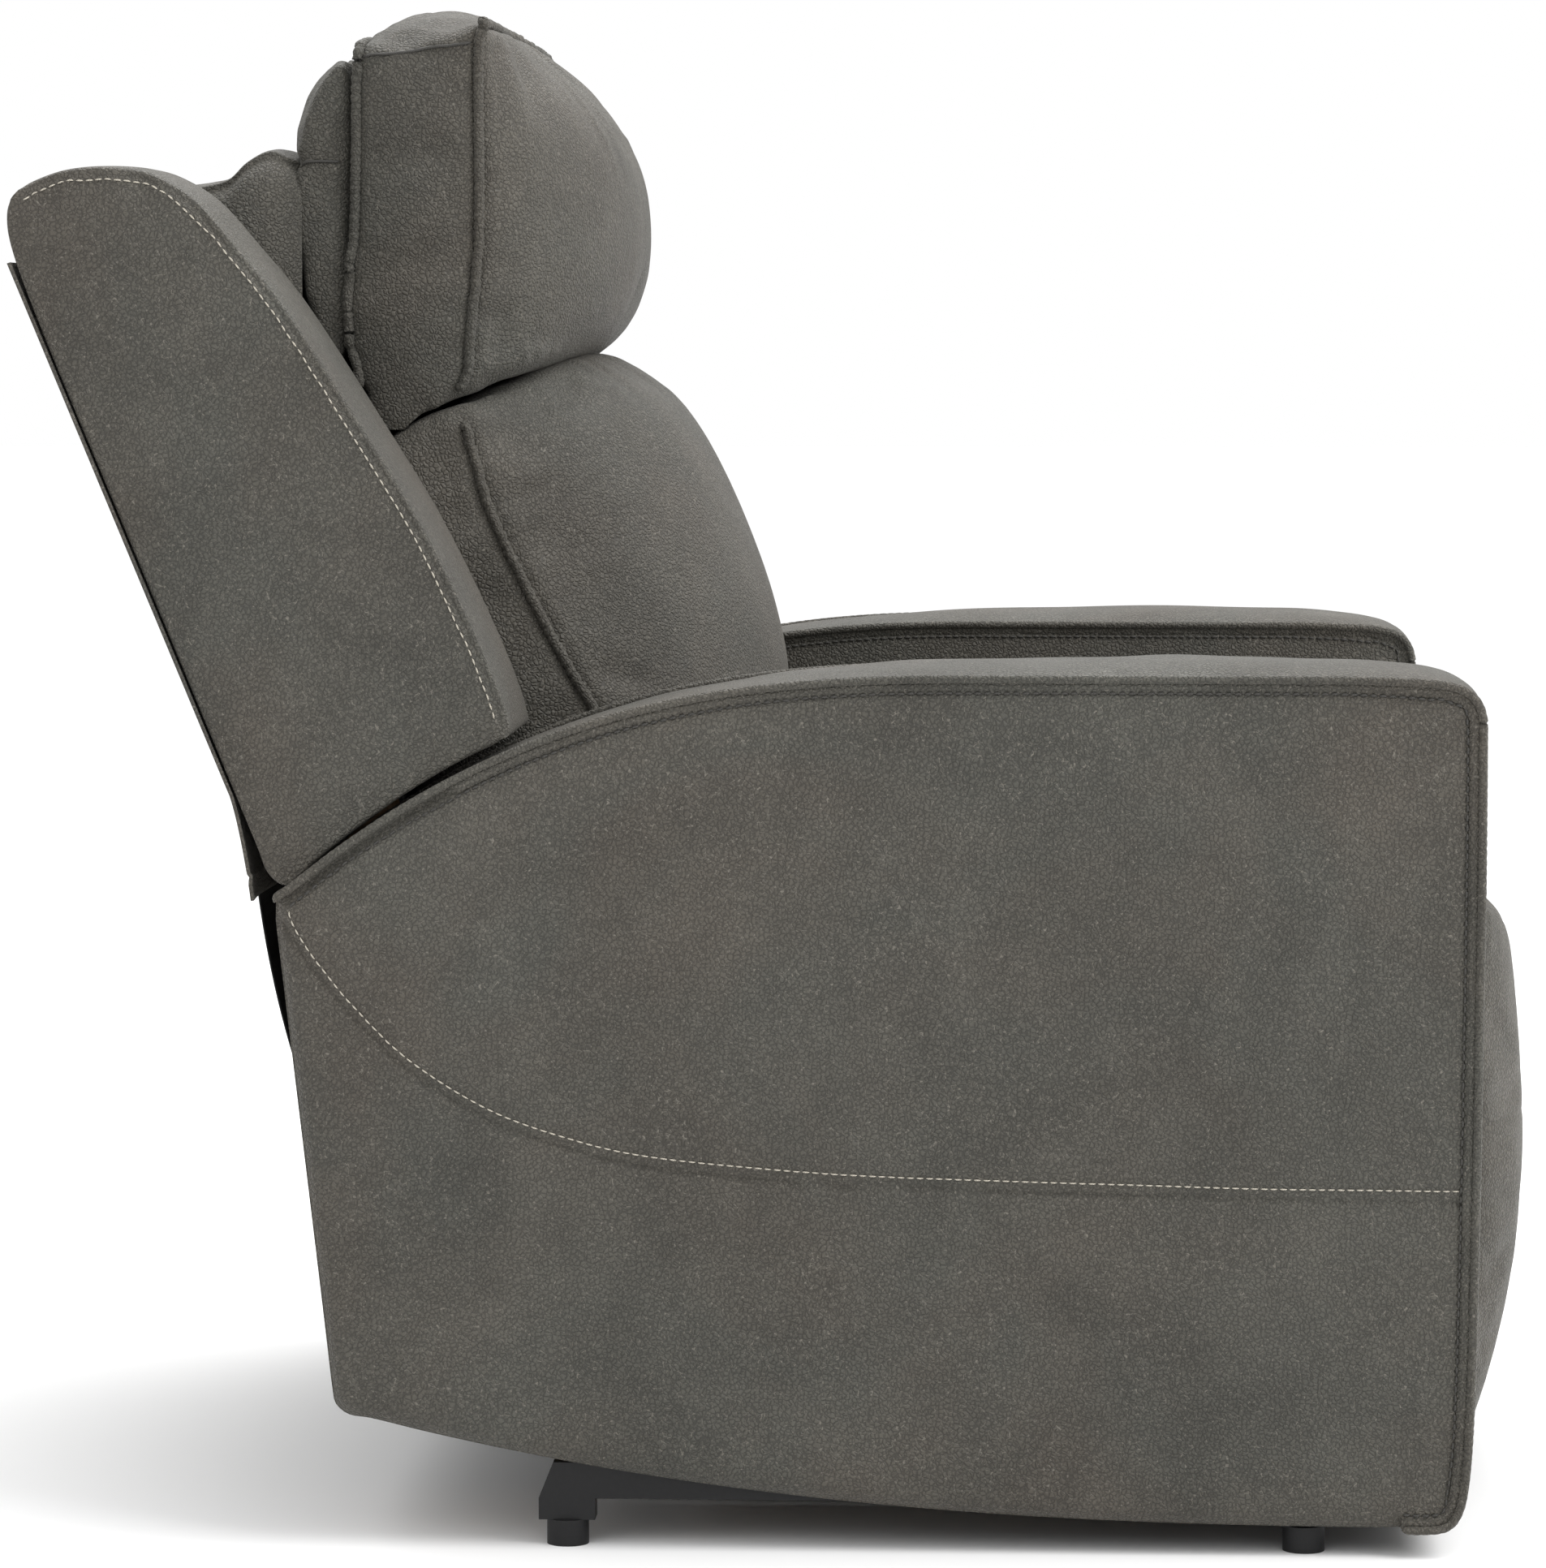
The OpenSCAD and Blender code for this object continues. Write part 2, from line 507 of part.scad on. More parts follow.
// ================= headrest =================
motor_s = 104;
module headrest_motor() place(y_mid) color(black) raked() difference() {
    union() {
        translate([0, -lever_t, motor_s]) cylinder(h = lever_s - motor_s - 74, d = 30);
        box([-34, -lever_t - 20, motor_s], [34, -stile_t[0] - 16, motor_s + 60]);
    }
    translate([0, -lever_t, motor_s - 1]) cylinder(h = wing_len, d = rod_d + 1);
}
module headrest_rod() place(y_mid) color(steel) raked() {
    translate([0, -lever_t, motor_s + 56]) cylinder(h = lever_s - motor_s - 48, d = rod_d);
    translate([-14, -lever_t, lever_s]) rotate([0, 90, 0]) cylinder(h = 28, d = pin_d);
}
module headrest_arms() place(y_mid) both_sides() color(steel) {
    s1 = lever_s + 30;
    difference() {
        slab(x_lower, x_lower + plate_t, rounded([concat(bk(38, s1), [5]), concat(bk(38, s1 - 55), [5]),
            concat(bk(76, s1 - 55), [10]), concat(headrest_hinge + [8, -15], [8]),
            concat(headrest_hinge + [-16, 0], [10]), concat(headrest_hinge + [0, 16], [8]), concat(bk(76, s1), [10])]));
        rod(x_lower - 1, x_lower + plate_t + 1, headrest_hinge, pin_d);
    }
    rivet(x_upper - 1, x_lower + plate_t, headrest_hinge, pin_d);
}
// The frame's board carries a hinge plate at each side and a pair of lever plates for the rod
module headrest_frame() place(y_mid) color(wood) translate([0, headrest_hinge[0], headrest_hinge[1]]) {
    board = headrest_board_y;
    pin = lever_pin - headrest_hinge;
    eye = pin_d / 2 + open_gap + 1;
    box([-x_upper, board[0], 15], [x_upper, board[1], headrest_h - 70]);
    both_sides() difference() {
        slab(x_upper - eps, x_upper + plate_t, rounded([[-16, -4, 8], [-2, -16, 8], [board[1], 8, 6],
            [board[1], 110], [board[0], 110], [board[0], 18], [-10, 14, 8]]));
        rod(x_upper - 1, x_upper + plate_t + 1, [0, 0], pin_d + 2 * pin_fit);
    }
    both_sides() difference() {
        union() {
            slab(8, 12, [[board[0], 15 + eps], [board[0] + 3, 0], pin + [-2, -eye - 6], pin + [6, eye + 5],
                [board[1], 15 + eps]]);
            rod(8, 12, pin, 2 * eye + 12);
        }
        rod(7, 13, pin, 2 * eye);
    }
}
module headrest_cushion() place(y_mid) color(leather)
    translate([0, headrest_hinge[0], headrest_hinge[1]]) slab(-seat_half + 10, seat_half - 10, rounded([
        [6, 28, 6], [6, headrest_h - 30, 25], [-50, headrest_h, 20], [-headrest_d + 36, headrest_h - 57, 45],
        [-headrest_d - 9, headrest_h / 2 - 20, 70], [-headrest_d + 22, 54, 26], [-60, 28, 20]]));
module headrest_rear_pad() place(y_mid) color(leather)
    translate([0, headrest_hinge[0], headrest_hinge[1]]) slab(-seat_half + 10, seat_half - 10, rounded([
        [27, 31, 4], [56, 42, 10], [70, headrest_h - 140, 20], [68, headrest_h - 85, 40], [44, headrest_h - 38, 20],
        [27, headrest_h - 34, 4]]));

right_base_rail();
left_base_rail();
front_cross_tube();
rear_cross_tube();
floor_glides();
mechanism_rails();
base_rivets();
right_arm_side_panel();
left_arm_side_panel();
right_arm_inner_panel();
left_arm_inner_panel();
right_arm_front_panel();
left_arm_front_panel();
right_arm_top_pad();
left_arm_top_pad();
arm_frames();
rear_cross_rail();
control_panel();
recline_button();
return_button();
headrest_up_button();
headrest_down_button();
control_box();
power_inlet();
right_side_plate();
left_side_plate();
seat_cross_tube();
carriage_rivets();
seat_front_rail();
seat_rear_rail();
seat_webbing();
seat_cushion();
drive_rail();
recline_motor();
drive_block();
front_carrier_links();
rear_carrier_links();
footrest_lower_links();
torque_tube();
elbow_rivets();
footrest_upper_links();
footrest_rivets();
footrest_brackets();
footrest_board();
footrest_pad();
back_hinge_brackets();
back_stiles();
back_rails();
back_webbing();
outside_back();
right_wing();
left_wing();
back_cushion();
rear_dust_cover();
headrest_motor();
headrest_arms();
headrest_rod();
headrest_frame();
headrest_cushion();
headrest_rear_pad();
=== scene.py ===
# %% [markdown]
# # A powered recliner armchair
#
# The chair is upholstered in a grey-taupe faux suede: padded arms with welted edges, winged sides,
# a crowned back cushion and a headrest that tilts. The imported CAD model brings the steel, the wood
# and the joints, and this lesson makes the upholstery round them, one piece at a time.

# %% Load the frame
import math

import bmesh
import bpy
import numpy as np
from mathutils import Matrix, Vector
from mathutils.bvhtree import BVHTree


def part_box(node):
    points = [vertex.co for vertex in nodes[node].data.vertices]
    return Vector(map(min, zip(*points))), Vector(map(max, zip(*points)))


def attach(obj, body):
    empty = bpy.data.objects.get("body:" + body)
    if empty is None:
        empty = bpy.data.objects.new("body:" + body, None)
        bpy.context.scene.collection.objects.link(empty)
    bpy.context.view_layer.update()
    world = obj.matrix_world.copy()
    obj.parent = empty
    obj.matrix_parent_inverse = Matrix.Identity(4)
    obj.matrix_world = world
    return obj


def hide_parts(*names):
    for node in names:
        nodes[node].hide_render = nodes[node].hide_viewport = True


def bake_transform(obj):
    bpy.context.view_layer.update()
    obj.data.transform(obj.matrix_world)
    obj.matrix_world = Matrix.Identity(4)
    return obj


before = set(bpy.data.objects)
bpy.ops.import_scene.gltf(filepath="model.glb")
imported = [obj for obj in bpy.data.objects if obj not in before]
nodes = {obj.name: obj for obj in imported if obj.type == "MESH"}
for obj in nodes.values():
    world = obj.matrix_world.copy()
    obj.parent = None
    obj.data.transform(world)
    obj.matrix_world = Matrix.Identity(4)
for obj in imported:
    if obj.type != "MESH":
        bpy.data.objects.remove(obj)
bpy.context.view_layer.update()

# %% [markdown]
# ## Measures
#
# Upholstery is drawn in millimetres, counted from the front edge of the arms towards the rear, and
# from the floor up, because every panel is cut to that side view. One function turns those points
# into the frame's metres, so nothing else needs to know where the chair's origin is.

# %% Measures in millimetres
HANDS = ((-1, "right"), (1, "left"))
panel_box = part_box("left_arm_side_panel")
FRONT_Y = panel_box[0].y
ARM_LEN = round((panel_box[1].y - FRONT_Y) * 1000)
ARM_H = round(panel_box[1].z * 1000)
SEAT_H, CROWN = 500, 12
ARM_CLEAR, ARM_FLAT, ARM_DROP, ARM_SWEEP = 20, 330, 155, 76
ARM_FOOT = ARM_LEN - 40
RAKE = math.radians(22.4)
BACK_FOOT = np.array([ARM_LEN - 9.0, SEAT_H - 48.0])
BACK_HALF, BACK_TOP = 446, 470
SEAT_HALF, FOOT_HALF, CUSHION_HALF, HEAD_HALF, PUFF_HALF = 280, 282, 278, 272, 268
SIN, COS = math.sin(RAKE), math.cos(RAKE)


def arm_top(y):
    """Height of the arm's top seam: level, then falling as a power of the way to the rear."""
    way = np.maximum(0, (np.asarray(y, float) - ARM_FLAT) / (ARM_LEN - ARM_FLAT))
    return ARM_H - ARM_DROP * way**2.7


def arm_bottom(y):
    """Height of the arm's lower edge, which sweeps up towards the rear."""
    way = np.maximum(0, (np.asarray(y, float) - 23) / (ARM_FOOT - 23))
    return ARM_CLEAR + ARM_SWEEP * way**2.6


def arm_rear(z):
    """The arm's rear edge, a straight line that leans back from its foot to its corner."""
    low = ARM_CLEAR + ARM_SWEEP
    return ARM_FOOT + (ARM_LEN - ARM_FOOT) * (np.asarray(z, float) - low) / (ARM_H - ARM_DROP - low)


def crown(y):
    """How far the arm's padding stands above its seams."""
    return CROWN * (1 - np.maximum(0, (np.asarray(y, float) - 60) / (ARM_LEN - 60)) ** 6)


def rake(t, s):
    """A point of the back's side view: t forward from its rear face, s up its slope."""
    return np.array([BACK_FOOT[0] - t * COS + s * SIN, BACK_FOOT[1] + t * SIN + s * COS])


print("arm", ARM_LEN, "x", ARM_H, "mm")

# %% [markdown]
# ## Curves and grids
#
# A seam is a smooth line through a few points, so one spline serves every outline. A panel is a
# grid of points: its rows and columns become quads, and a grid can close on itself either way.


# %% Curve and grid helpers
def way_along(line):
    """The distance travelled along a line at each of its points."""
    return np.concatenate([[0], np.cumsum(np.linalg.norm(np.diff(line, axis=0), axis=1))])


def catmull_rom(p, per):
    """The smooth cubic between each inner pair of points b and c, whose outer neighbours are a and d."""
    k = np.linspace(0, 1, per, endpoint=False)[None, :, None]
    a, b, c, d = (p[i : len(p) - 3 + i, None, :] for i in range(4))
    fine = 0.5 * (2 * b + (c - a) * k + (2 * a - 5 * b + 4 * c - d) * k**2 + (3 * b - a - 3 * c + d) * k**3)
    return fine.reshape(-1, p.shape[1])


def spline(points, count, closed=False):
    """A smooth curve through the points, sampled evenly along its length."""
    p = np.asarray(points, float)
    if closed:
        p = np.vstack([p[-1:], p, p[:2]])
    else:
        p = np.vstack([2 * p[:1] - p[1:2], p, 2 * p[-1:] - p[-2:-1]])
    fine = np.vstack([catmull_rom(p, 24), p[-2:-1]])
    return resample(fine, count + 1)[:-1] if closed else resample(fine, count)


def resample(line, count):
    """The same line with count points at even steps along it."""
    way = way_along(line)
    even = np.linspace(0, way[-1], count)
    return np.stack([np.interp(even, way, line[:, i]) for i in range(line.shape[1])], axis=1)


def at_x(x, line):
    """A line of the side view, set at one distance from the chair's middle plane."""
    return np.concatenate([np.full((len(line), 1), float(x)), line], 1)


def stacked(*parts):
    """Coordinates, broadcast to one shape and stacked as points."""
    return np.stack(np.broadcast_arrays(*parts), -1)


def index_near(line, point):
    """The place in a side-view line of the point nearest to a given one."""
    return int(np.argmin(np.abs(line - point).sum(1)))


def bell(x, width):
    """One at nothing, falling to nothing on both sides: e to the minus (x / width) squared."""
    return np.exp(-((x / width) ** 2))


def swelling(x, width):
    """Nothing at nothing, rising towards one: one less e to the minus x / width."""
    return 1 - np.exp(-x / width)


def into_frame(p):
    """Millimetres from the arm's front edge become the frame's metres."""
    return np.asarray(p, float) * 0.001 + np.array([0, FRONT_Y, 0])


def make_mesh(name, points, faces):
    """A mesh object from points in millimetres; its doubles are merged and its faces turned outwards."""
    mesh = bpy.data.meshes.new(name)
    mesh.from_pydata(into_frame(points).tolist(), [], faces)
    work = bmesh.new()
    work.from_mesh(mesh)
    bmesh.ops.remove_doubles(work, verts=work.verts, dist=2e-5)
    bmesh.ops.dissolve_degenerate(work, edges=work.edges, dist=1e-5)
    bmesh.ops.recalc_face_normals(work, faces=work.faces)
    work.to_mesh(mesh)
    work.free()
    mesh.polygons.foreach_set("use_smooth", [True] * len(mesh.polygons))
    obj = bpy.data.objects.new(name, mesh)
    bpy.context.scene.collection.objects.link(obj)
    return obj


def grid_faces(rows, columns, wrap=False):
    """Quads between the rows and columns of a grid, joined across its columns' ends where it wraps."""
    i, j = np.meshgrid(np.arange(rows - 1), np.arange(columns if wrap else columns - 1), indexing="ij")
    k = (j + 1) % columns
    quads = np.stack([i * columns + j, i * columns + k, (i + 1) * columns + k, (i + 1) * columns + j], -1)
    return quads.reshape(-1, 4).tolist()


def grid(name, p, wrap=False):
    """A grid of shape (rows, columns, 3) in millimetres, made an object."""
    return make_mesh(name, p.reshape(-1, 3), grid_faces(p.shape[0], p.shape[1], wrap))


def lofted(name, rings):
    """A closed form: rings of equal length joined in order, and each end ring drawn in to its middle."""
    rings = np.asarray(rings, float)
    inset = np.linspace(0, 1, 9)[:, None, None]
    ends = [r[None] + (r.mean(0)[None, None] - r[None]) * inset for r in (rings[0], rings[-1])]
    return grid(name, np.concatenate([ends[0][::-1], rings[1:-1], ends[1]]), wrap=True)


def tangents(path, closed=False):
    """The unit direction of a path at each point, from the difference of its neighbours."""
    if closed:
        tangent = np.roll(path, -1, 0) - np.roll(path, 1, 0)
    else:
        tangent = np.gradient(path, axis=0)
    tangent /= np.linalg.norm(tangent, axis=1, keepdims=True) + 1e-12
    return tangent


# %% [markdown]
# ## Stuffing
#
# A cushion is a sewn cover with something pressing on it from inside. So each padded piece starts
# as a plain closed form a little smaller than it should end up, is remeshed to even quads, held at
# its seams, and blown up by cloth simulation. A cap keeps any point from moving too far, and the
# seams come afterwards, because the remesh would wipe them out.


# %% Stuffing helpers
CLOTH_FRAMES, CLOTH_SLACK, SEAM_HOLD = 18, 0.02, 10


def seam_distance(co, seams):
    """Distance from every point to the nearest point of any seam."""
    best = np.full(len(co), 1e9)
    for seam in seams:
        for part in np.array_split(seam, max(1, len(seam) // 40)):
            best = np.minimum(best, np.linalg.norm(co[:, None] - part[None], axis=2).min(1))
    return best


def get_co(mesh):
    """A mesh's points, as millimetres from the arm's front edge."""
    co = np.empty(len(mesh.vertices) * 3)
    mesh.vertices.foreach_get("co", co)
    return (co.reshape(-1, 3) - np.array([0, FRONT_Y, 0])) * 1000


def set_co(mesh, co):
    """Puts the points back in the frame's metres."""
    mesh.vertices.foreach_set("co", into_frame(co).ravel())
    mesh.update()


def applied(obj):
    """Every modifier's result becomes the object's own mesh."""
    shape = obj.evaluated_get(bpy.context.evaluated_depsgraph_get())
    mesh = bpy.data.meshes.new_from_object(shape)
    obj.modifiers.clear()
    old, obj.data = obj.data, mesh
    bpy.data.meshes.remove(old)
    mesh.polygons.foreach_set("use_smooth", [True] * len(mesh.polygons))
    return obj


def stuffed(obj, seams, voxel, pressure, cap, still=None):
    """Remeshes a closed form, swells it by cloth simulation, held along its seams, and evens it."""
    remesh = obj.modifiers.new("even", "REMESH")
    remesh.mode, remesh.voxel_size, remesh.adaptivity = "VOXEL", voxel * 0.001, 0
    applied(obj)
    start = get_co(obj.data)
    held = np.clip(1.6 - seam_distance(start, seams) / SEAM_HOLD, 0, 1)
    if still is not None:
        held = np.maximum(held, still(start))
    group = obj.vertex_groups.new(name="held")
    for level in range(1, 9):
        ids = np.nonzero(np.round(held * 8) == level)[0]
        if len(ids):
            group.add(ids.tolist(), level / 8, "REPLACE")
    cloth = obj.modifiers.new("cover", "CLOTH")
    s = cloth.settings
    s.quality, s.mass = 6, 0.35
    s.tension_stiffness = s.compression_stiffness = 22
    s.shear_stiffness, s.bending_stiffness = 9, 1.2
    s.use_pressure, s.uniform_pressure_force = True, pressure
    s.shrink_min = -CLOTH_SLACK
    s.vertex_group_mass = "held"
    s.effector_weights.gravity = 0
    cloth.collision_settings.use_collision = False
    cloth.point_cache.frame_start, cloth.point_cache.frame_end = 1, CLOTH_FRAMES
    for step in range(1, CLOTH_FRAMES + 1):
        bpy.context.scene.frame_set(step)
    applied(obj)
    bpy.context.scene.frame_set(1)
    obj.vertex_groups.clear()
    move = get_co(obj.data) - start
    far = np.linalg.norm(move, axis=1, keepdims=True)
    move *= cap * np.tanh(far / cap) / np.maximum(far, 1e-9)
    set_co(obj.data, start + move)
    print(obj.name, "cover moved", round(float(far.mean()), 1), "to", round(float(far.max()), 1), "mm")
    return evened(obj)


def evened(obj):
    """Smooths the facets that the remesh leaves, then adds a level of quads for seams and folds."""
    smooth = obj.modifiers.new("even", "LAPLACIANSMOOTH")
    smooth.iterations, smooth.lambda_factor = 2, 0.5
    applied(obj)
    sub = obj.modifiers.new("finer", "SUBSURF")
    sub.levels = sub.render_levels = 1
    return applied(obj)


def normals_of(mesh):
    """The normal at each of a mesh's points."""
    n = np.empty(len(mesh.vertices) * 3)
    mesh.vertices.foreach_get("normal", n)
    return n.reshape(-1, 3)


def pulled_in(obj, seams, depth, width):
    """Draws the cover down into a groove along each seam: depth times a bell curve of the distance."""
    co = get_co(obj.data)
    away = seam_distance(co, seams)
    near = away < 4 * width
    fall = depth * bell(away, width)
    co[near] -= (normals_of(obj.data) * fall[:, None])[near]
    set_co(obj.data, co)
    return obj


def puckered(obj, seams, height, pitch, reach, seed):
    """Short folds that run away from a seam: a wave along the seam, fading with distance from it."""
    co = get_co(obj.data)
    line = np.concatenate(seams)
    way = np.concatenate([way_along(seam) for seam in seams])
    nearest, best = np.zeros(len(co)), np.full(len(co), 1e9)
    for k in range(0, len(line), 40):
        d = np.linalg.norm(co[:, None] - line[None, k : k + 40], axis=2)
        i = d.argmin(1)
        better = d[np.arange(len(co)), i] < best
        best[better] = d[np.arange(len(co)), i][better]
        nearest[better] = way[k + i[better]]
    draw = np.random.default_rng(seed)
    wave = np.zeros(len(co))
    for k in range(5):
        length = pitch * draw.uniform(0.6, 1.7)
        shift, lean = draw.uniform(0, 6.28), draw.uniform(-1, 1)
        wave += np.sin(nearest * 2 * np.pi / length + shift + 0.012 * best * lean * 6) / 3
    strength = 0.5 + 0.5 * np.sin(nearest / (pitch * 3.1) + draw.uniform(0, 6))
    fade = np.exp(-best / reach) * swelling(best, 5)
    co += normals_of(obj.data) * (height * wave * fade * strength)[:, None]
    set_co(obj.data, co)
    return obj


# %% [markdown]
# ## Welts and stitches
#
# A welt is a cord sewn into a seam under a strip of the cover, so it is a thin tube that lies on
# the seam, with a small dent at every stitch. Thread is made as geometry too: one short rounded
# bar per stitch, lying on the cover. A seam is first dropped onto the finished cover, so that
# welts and thread touch it wherever the stuffing pushed it.


# %% Welt and stitch helpers
STITCH_PITCH = 6.5


def surface_of(obj):
    """A search tree over the finished mesh, in millimetres."""
    faces = [list(face.vertices) for face in obj.data.polygons]
    return BVHTree.FromPolygons(get_co(obj.data).tolist(), faces)


def dropped(path, tree, lift=0.0):
    """The path moved to the nearest place on the cover, eased, with the cover's normal there."""
    hits = [tree.find_nearest(Vector(p)) for p in path]
    on, normal = np.array([h[0] for h in hits]), np.array([h[1] for h in hits])
    for _ in range(3):
        normal[1:-1] = (normal[:-2] + normal[1:-1] + normal[2:]) / 3
        on[1:-1] = (on[:-2] + 2 * on[1:-1] + on[2:]) / 4
    normal /= np.linalg.norm(normal, axis=1, keepdims=True)
    return on + lift * normal, normal


def welt(name, path, radius, dent=0.22):
    """A tube along a path, whose radius dips at each stitch, with its ends drawn in to a point."""
    length = np.linalg.norm(np.diff(path, axis=0), axis=1).sum()
    path = resample(path, max(8, int(length / 2.2)))
    tangent = tangents(path)
    way = np.linspace(0, length, len(path))
    side = np.cross(tangent, np.array([0.02, 0.03, 1.0]))
    side /= np.linalg.norm(side, axis=1, keepdims=True) + 1e-9
    up = np.cross(side, tangent)
    thick = radius * (1 - dent * np.abs(np.cos(np.pi * way / STITCH_PITCH)) ** 8)
    thick *= np.clip(np.minimum(way, length - way) / 4, 0.02, 1) ** 0.5
    angle = np.linspace(0, 2 * np.pi, 10, endpoint=False)
    ring = side[:, None] * np.cos(angle)[None, :, None] + up[:, None] * np.sin(angle)[None, :, None]
    return lofted(name, path[:, None] + ring * thick[:, None, None])


def stitches(name, path, normal, length=4.8, radius=0.55, lift=0.25):
    """Thread: a row of short rounded bars, each bowed up off the cover in its middle."""
    total = np.linalg.norm(np.diff(path, axis=0), axis=1).sum()
    count = max(2, int(total / STITCH_PITCH))
    line, up = resample(path, count * 6), resample(np.hstack([path, normal]), count * 6)[:, 3:]
    way = np.linspace(0, total, len(line))
    middle = (np.arange(count) + 0.5) * total / count
    k = np.linspace(-0.5, 0.5, 6)
    at = middle[:, None] + k[None] * length
    centre = np.stack([np.interp(at, way, line[:, i]) for i in range(3)], -1)
    out = np.stack([np.interp(at, way, up[:, i]) for i in range(3)], -1)
    out /= np.linalg.norm(out, axis=2, keepdims=True)
    along = centre[:, -1:] - centre[:, :1]
    along = along / np.linalg.norm(along, axis=2, keepdims=True)
    across = np.cross(along, out)
    bow = (lift + radius * 0.9) * (1 - (2 * k) ** 4)[None, :, None]
    thick = radius * np.array([0.35, 0.85, 1, 1, 0.85, 0.35])[None, :, None, None]
    angle = np.linspace(0, 2 * np.pi, 6, endpoint=False)
    ring = across[:, :, None] * np.cos(angle)[:, None] + out[:, :, None] * np.sin(angle)[:, None]
    rings = (centre + out * bow)[:, :, None] + ring * thick
    start = 36 * np.arange(count)[:, None]
    quads = (np.array(grid_faces(6, 6, True))[None] + start[:, :, None]).reshape(-1, 4)
    caps = np.concatenate([start + np.arange(5, -1, -1), start + np.arange(30, 36)])
    return make_mesh(name, rings.reshape(-1, 3), quads.tolist() + caps.tolist())


# %% [markdown]
# ## Nodes
#
# The sky and every finish are made of nodes. A few helpers make them, set them and link them, so
# that each finish reads as a short list of what its shader is given.


# %% Node helpers
def group(name, inputs, outputs):
    """An empty node group with float inputs and the named outputs, ready for its nodes."""
    tree = bpy.data.node_groups.new(name, "ShaderNodeTree")
    for label, value in inputs.items():
        kind = "NodeSocketColor" if isinstance(value, tuple) else "NodeSocketFloat"
        tree.interface.new_socket(label, in_out="INPUT", socket_type=kind).default_value = value
    for label, kind in outputs.items():
        tree.interface.new_socket(label, in_out="OUTPUT", socket_type=kind)
    return tree, tree.nodes.new("NodeGroupInput"), tree.nodes.new("NodeGroupOutput")


def plug(tree, n, values):
    """Gives a node's sockets their values, or links them to other nodes' sockets."""
    for key, value in values.items():
        if isinstance(value, bpy.types.NodeSocket):
            tree.links.new(value, n.inputs[key])
        else:
            n.inputs[key].default_value = value
    return n


def node(tree, kind, values=None, **settings):
    """A node with its settings made and its sockets plugged."""
    n = tree.nodes.new("ShaderNode" + kind)
    for key, value in settings.items():
        setattr(n, key, value)
    return plug(tree, n, values or {})


def noise(tree, vector, scale, detail, rough=0.5, distortion=0.0):
    """A cloudy noise, read at the vector."""
    look = {"Scale": scale, "Detail": detail, "Roughness": rough, "Distortion": distortion}
    return node(tree, "TexNoise", {"Vector": vector, **look})


def own_place(tree):
    """The point being shaded, in Object coordinates."""
    return node(tree, "TexCoord").outputs["Object"]


def bumped(tree, height, strength, distance):
    """The normal that a height gives, at a strength and over a distance in metres."""
    return node(tree, "Bump", {"Strength": strength, "Distance": distance, "Height": height}).outputs[0]


def mix(tree, kind, factor, a, b):
    """Two colours mixed or multiplied by a factor."""
    n = node(tree, "Mix", {0: factor, 6: a, 7: b}, data_type="RGBA", blend_type=kind)
    return n.outputs[2]


def ramp(tree, factor, stops):
    """A colour ramp of (place, colour) stops."""
    n = node(tree, "ValToRGB", {0: factor})
    while len(n.color_ramp.elements) < len(stops):
        n.color_ramp.elements.new(0.5)
    for element, (place, colour) in zip(n.color_ramp.elements, stops):
        element.position = place
        element.color = (*colour, 1) if len(colour) == 3 else colour
    return n.outputs[0]


def math_node(tree, kind, a, b):
    """One sum or product of two values."""
    return node(tree, "Math", {0: a, 1: b}, operation=kind).outputs[0]

def new_material(name):
    """A material, its node tree and its Principled shader."""
    made = bpy.data.materials.new(name)
    made.use_nodes = True
    return made, made.node_tree, made.node_tree.nodes["Principled BSDF"]


def use_group(tree, which, **values):
    """One of the node groups, set into a material's tree."""
    return plug(tree, node(tree, "Group", node_tree=which), values)


# %% [markdown]
# ## Camera, floor and light
#
# The chair is seen from its right-hand side by a long lens, so its sides stay nearly parallel. A
# pale floor with big soft lamps above gives a studio's even light and one soft shadow.

# %% Camera
lens_at = np.array([-4.301, -0.1713, 0.831])
yaw, pitch = 0.047, 0.078
aim = np.array([math.cos(yaw) * math.cos(pitch), math.sin(yaw) * math.cos(pitch), -math.sin(pitch)])
camera = bpy.data.objects.new("Camera", bpy.data.cameras.new("Camera"))
camera.data.sensor_width, camera.data.lens = 36, 130.5
camera.data.clip_end = 60
camera.location = lens_at
camera.rotation_euler = Vector(aim).to_track_quat("-Z", "Y").to_euler()
bpy.context.scene.collection.objects.link(camera)
bpy.context.scene.camera = camera
print("camera looks along", [round(float(v), 3) for v in aim])


# %% Floor and lamps
def floor_sheet():
    """A flat square floor at the feet: its two sides are the grid's two directions."""
    side = np.linspace(-40, 40, 9)
    x, y = np.meshgrid(side, side, indexing="ij")
    mesh = bpy.data.meshes.new("studio_floor")
    mesh.from_pydata(np.stack([x, y, 0 * x], -1).reshape(-1, 3).tolist(), [], grid_faces(9, 9))
    obj = bpy.data.objects.new("studio_floor", mesh)
    bpy.context.scene.collection.objects.link(obj)
    return obj


def lamp(name, at, size, power, target=(0, 0, 0.5)):
    """A square soft lamp that points at the target."""
    data = bpy.data.lights.new(name, "AREA")
    data.shape, data.size, data.energy = "SQUARE", size, power
    obj = bpy.data.objects.new(name, data)
    obj.location = at
    obj.rotation_euler = (Vector(target) - Vector(at)).to_track_quat("-Z", "Y").to_euler()
    bpy.context.scene.collection.objects.link(obj)
    return obj


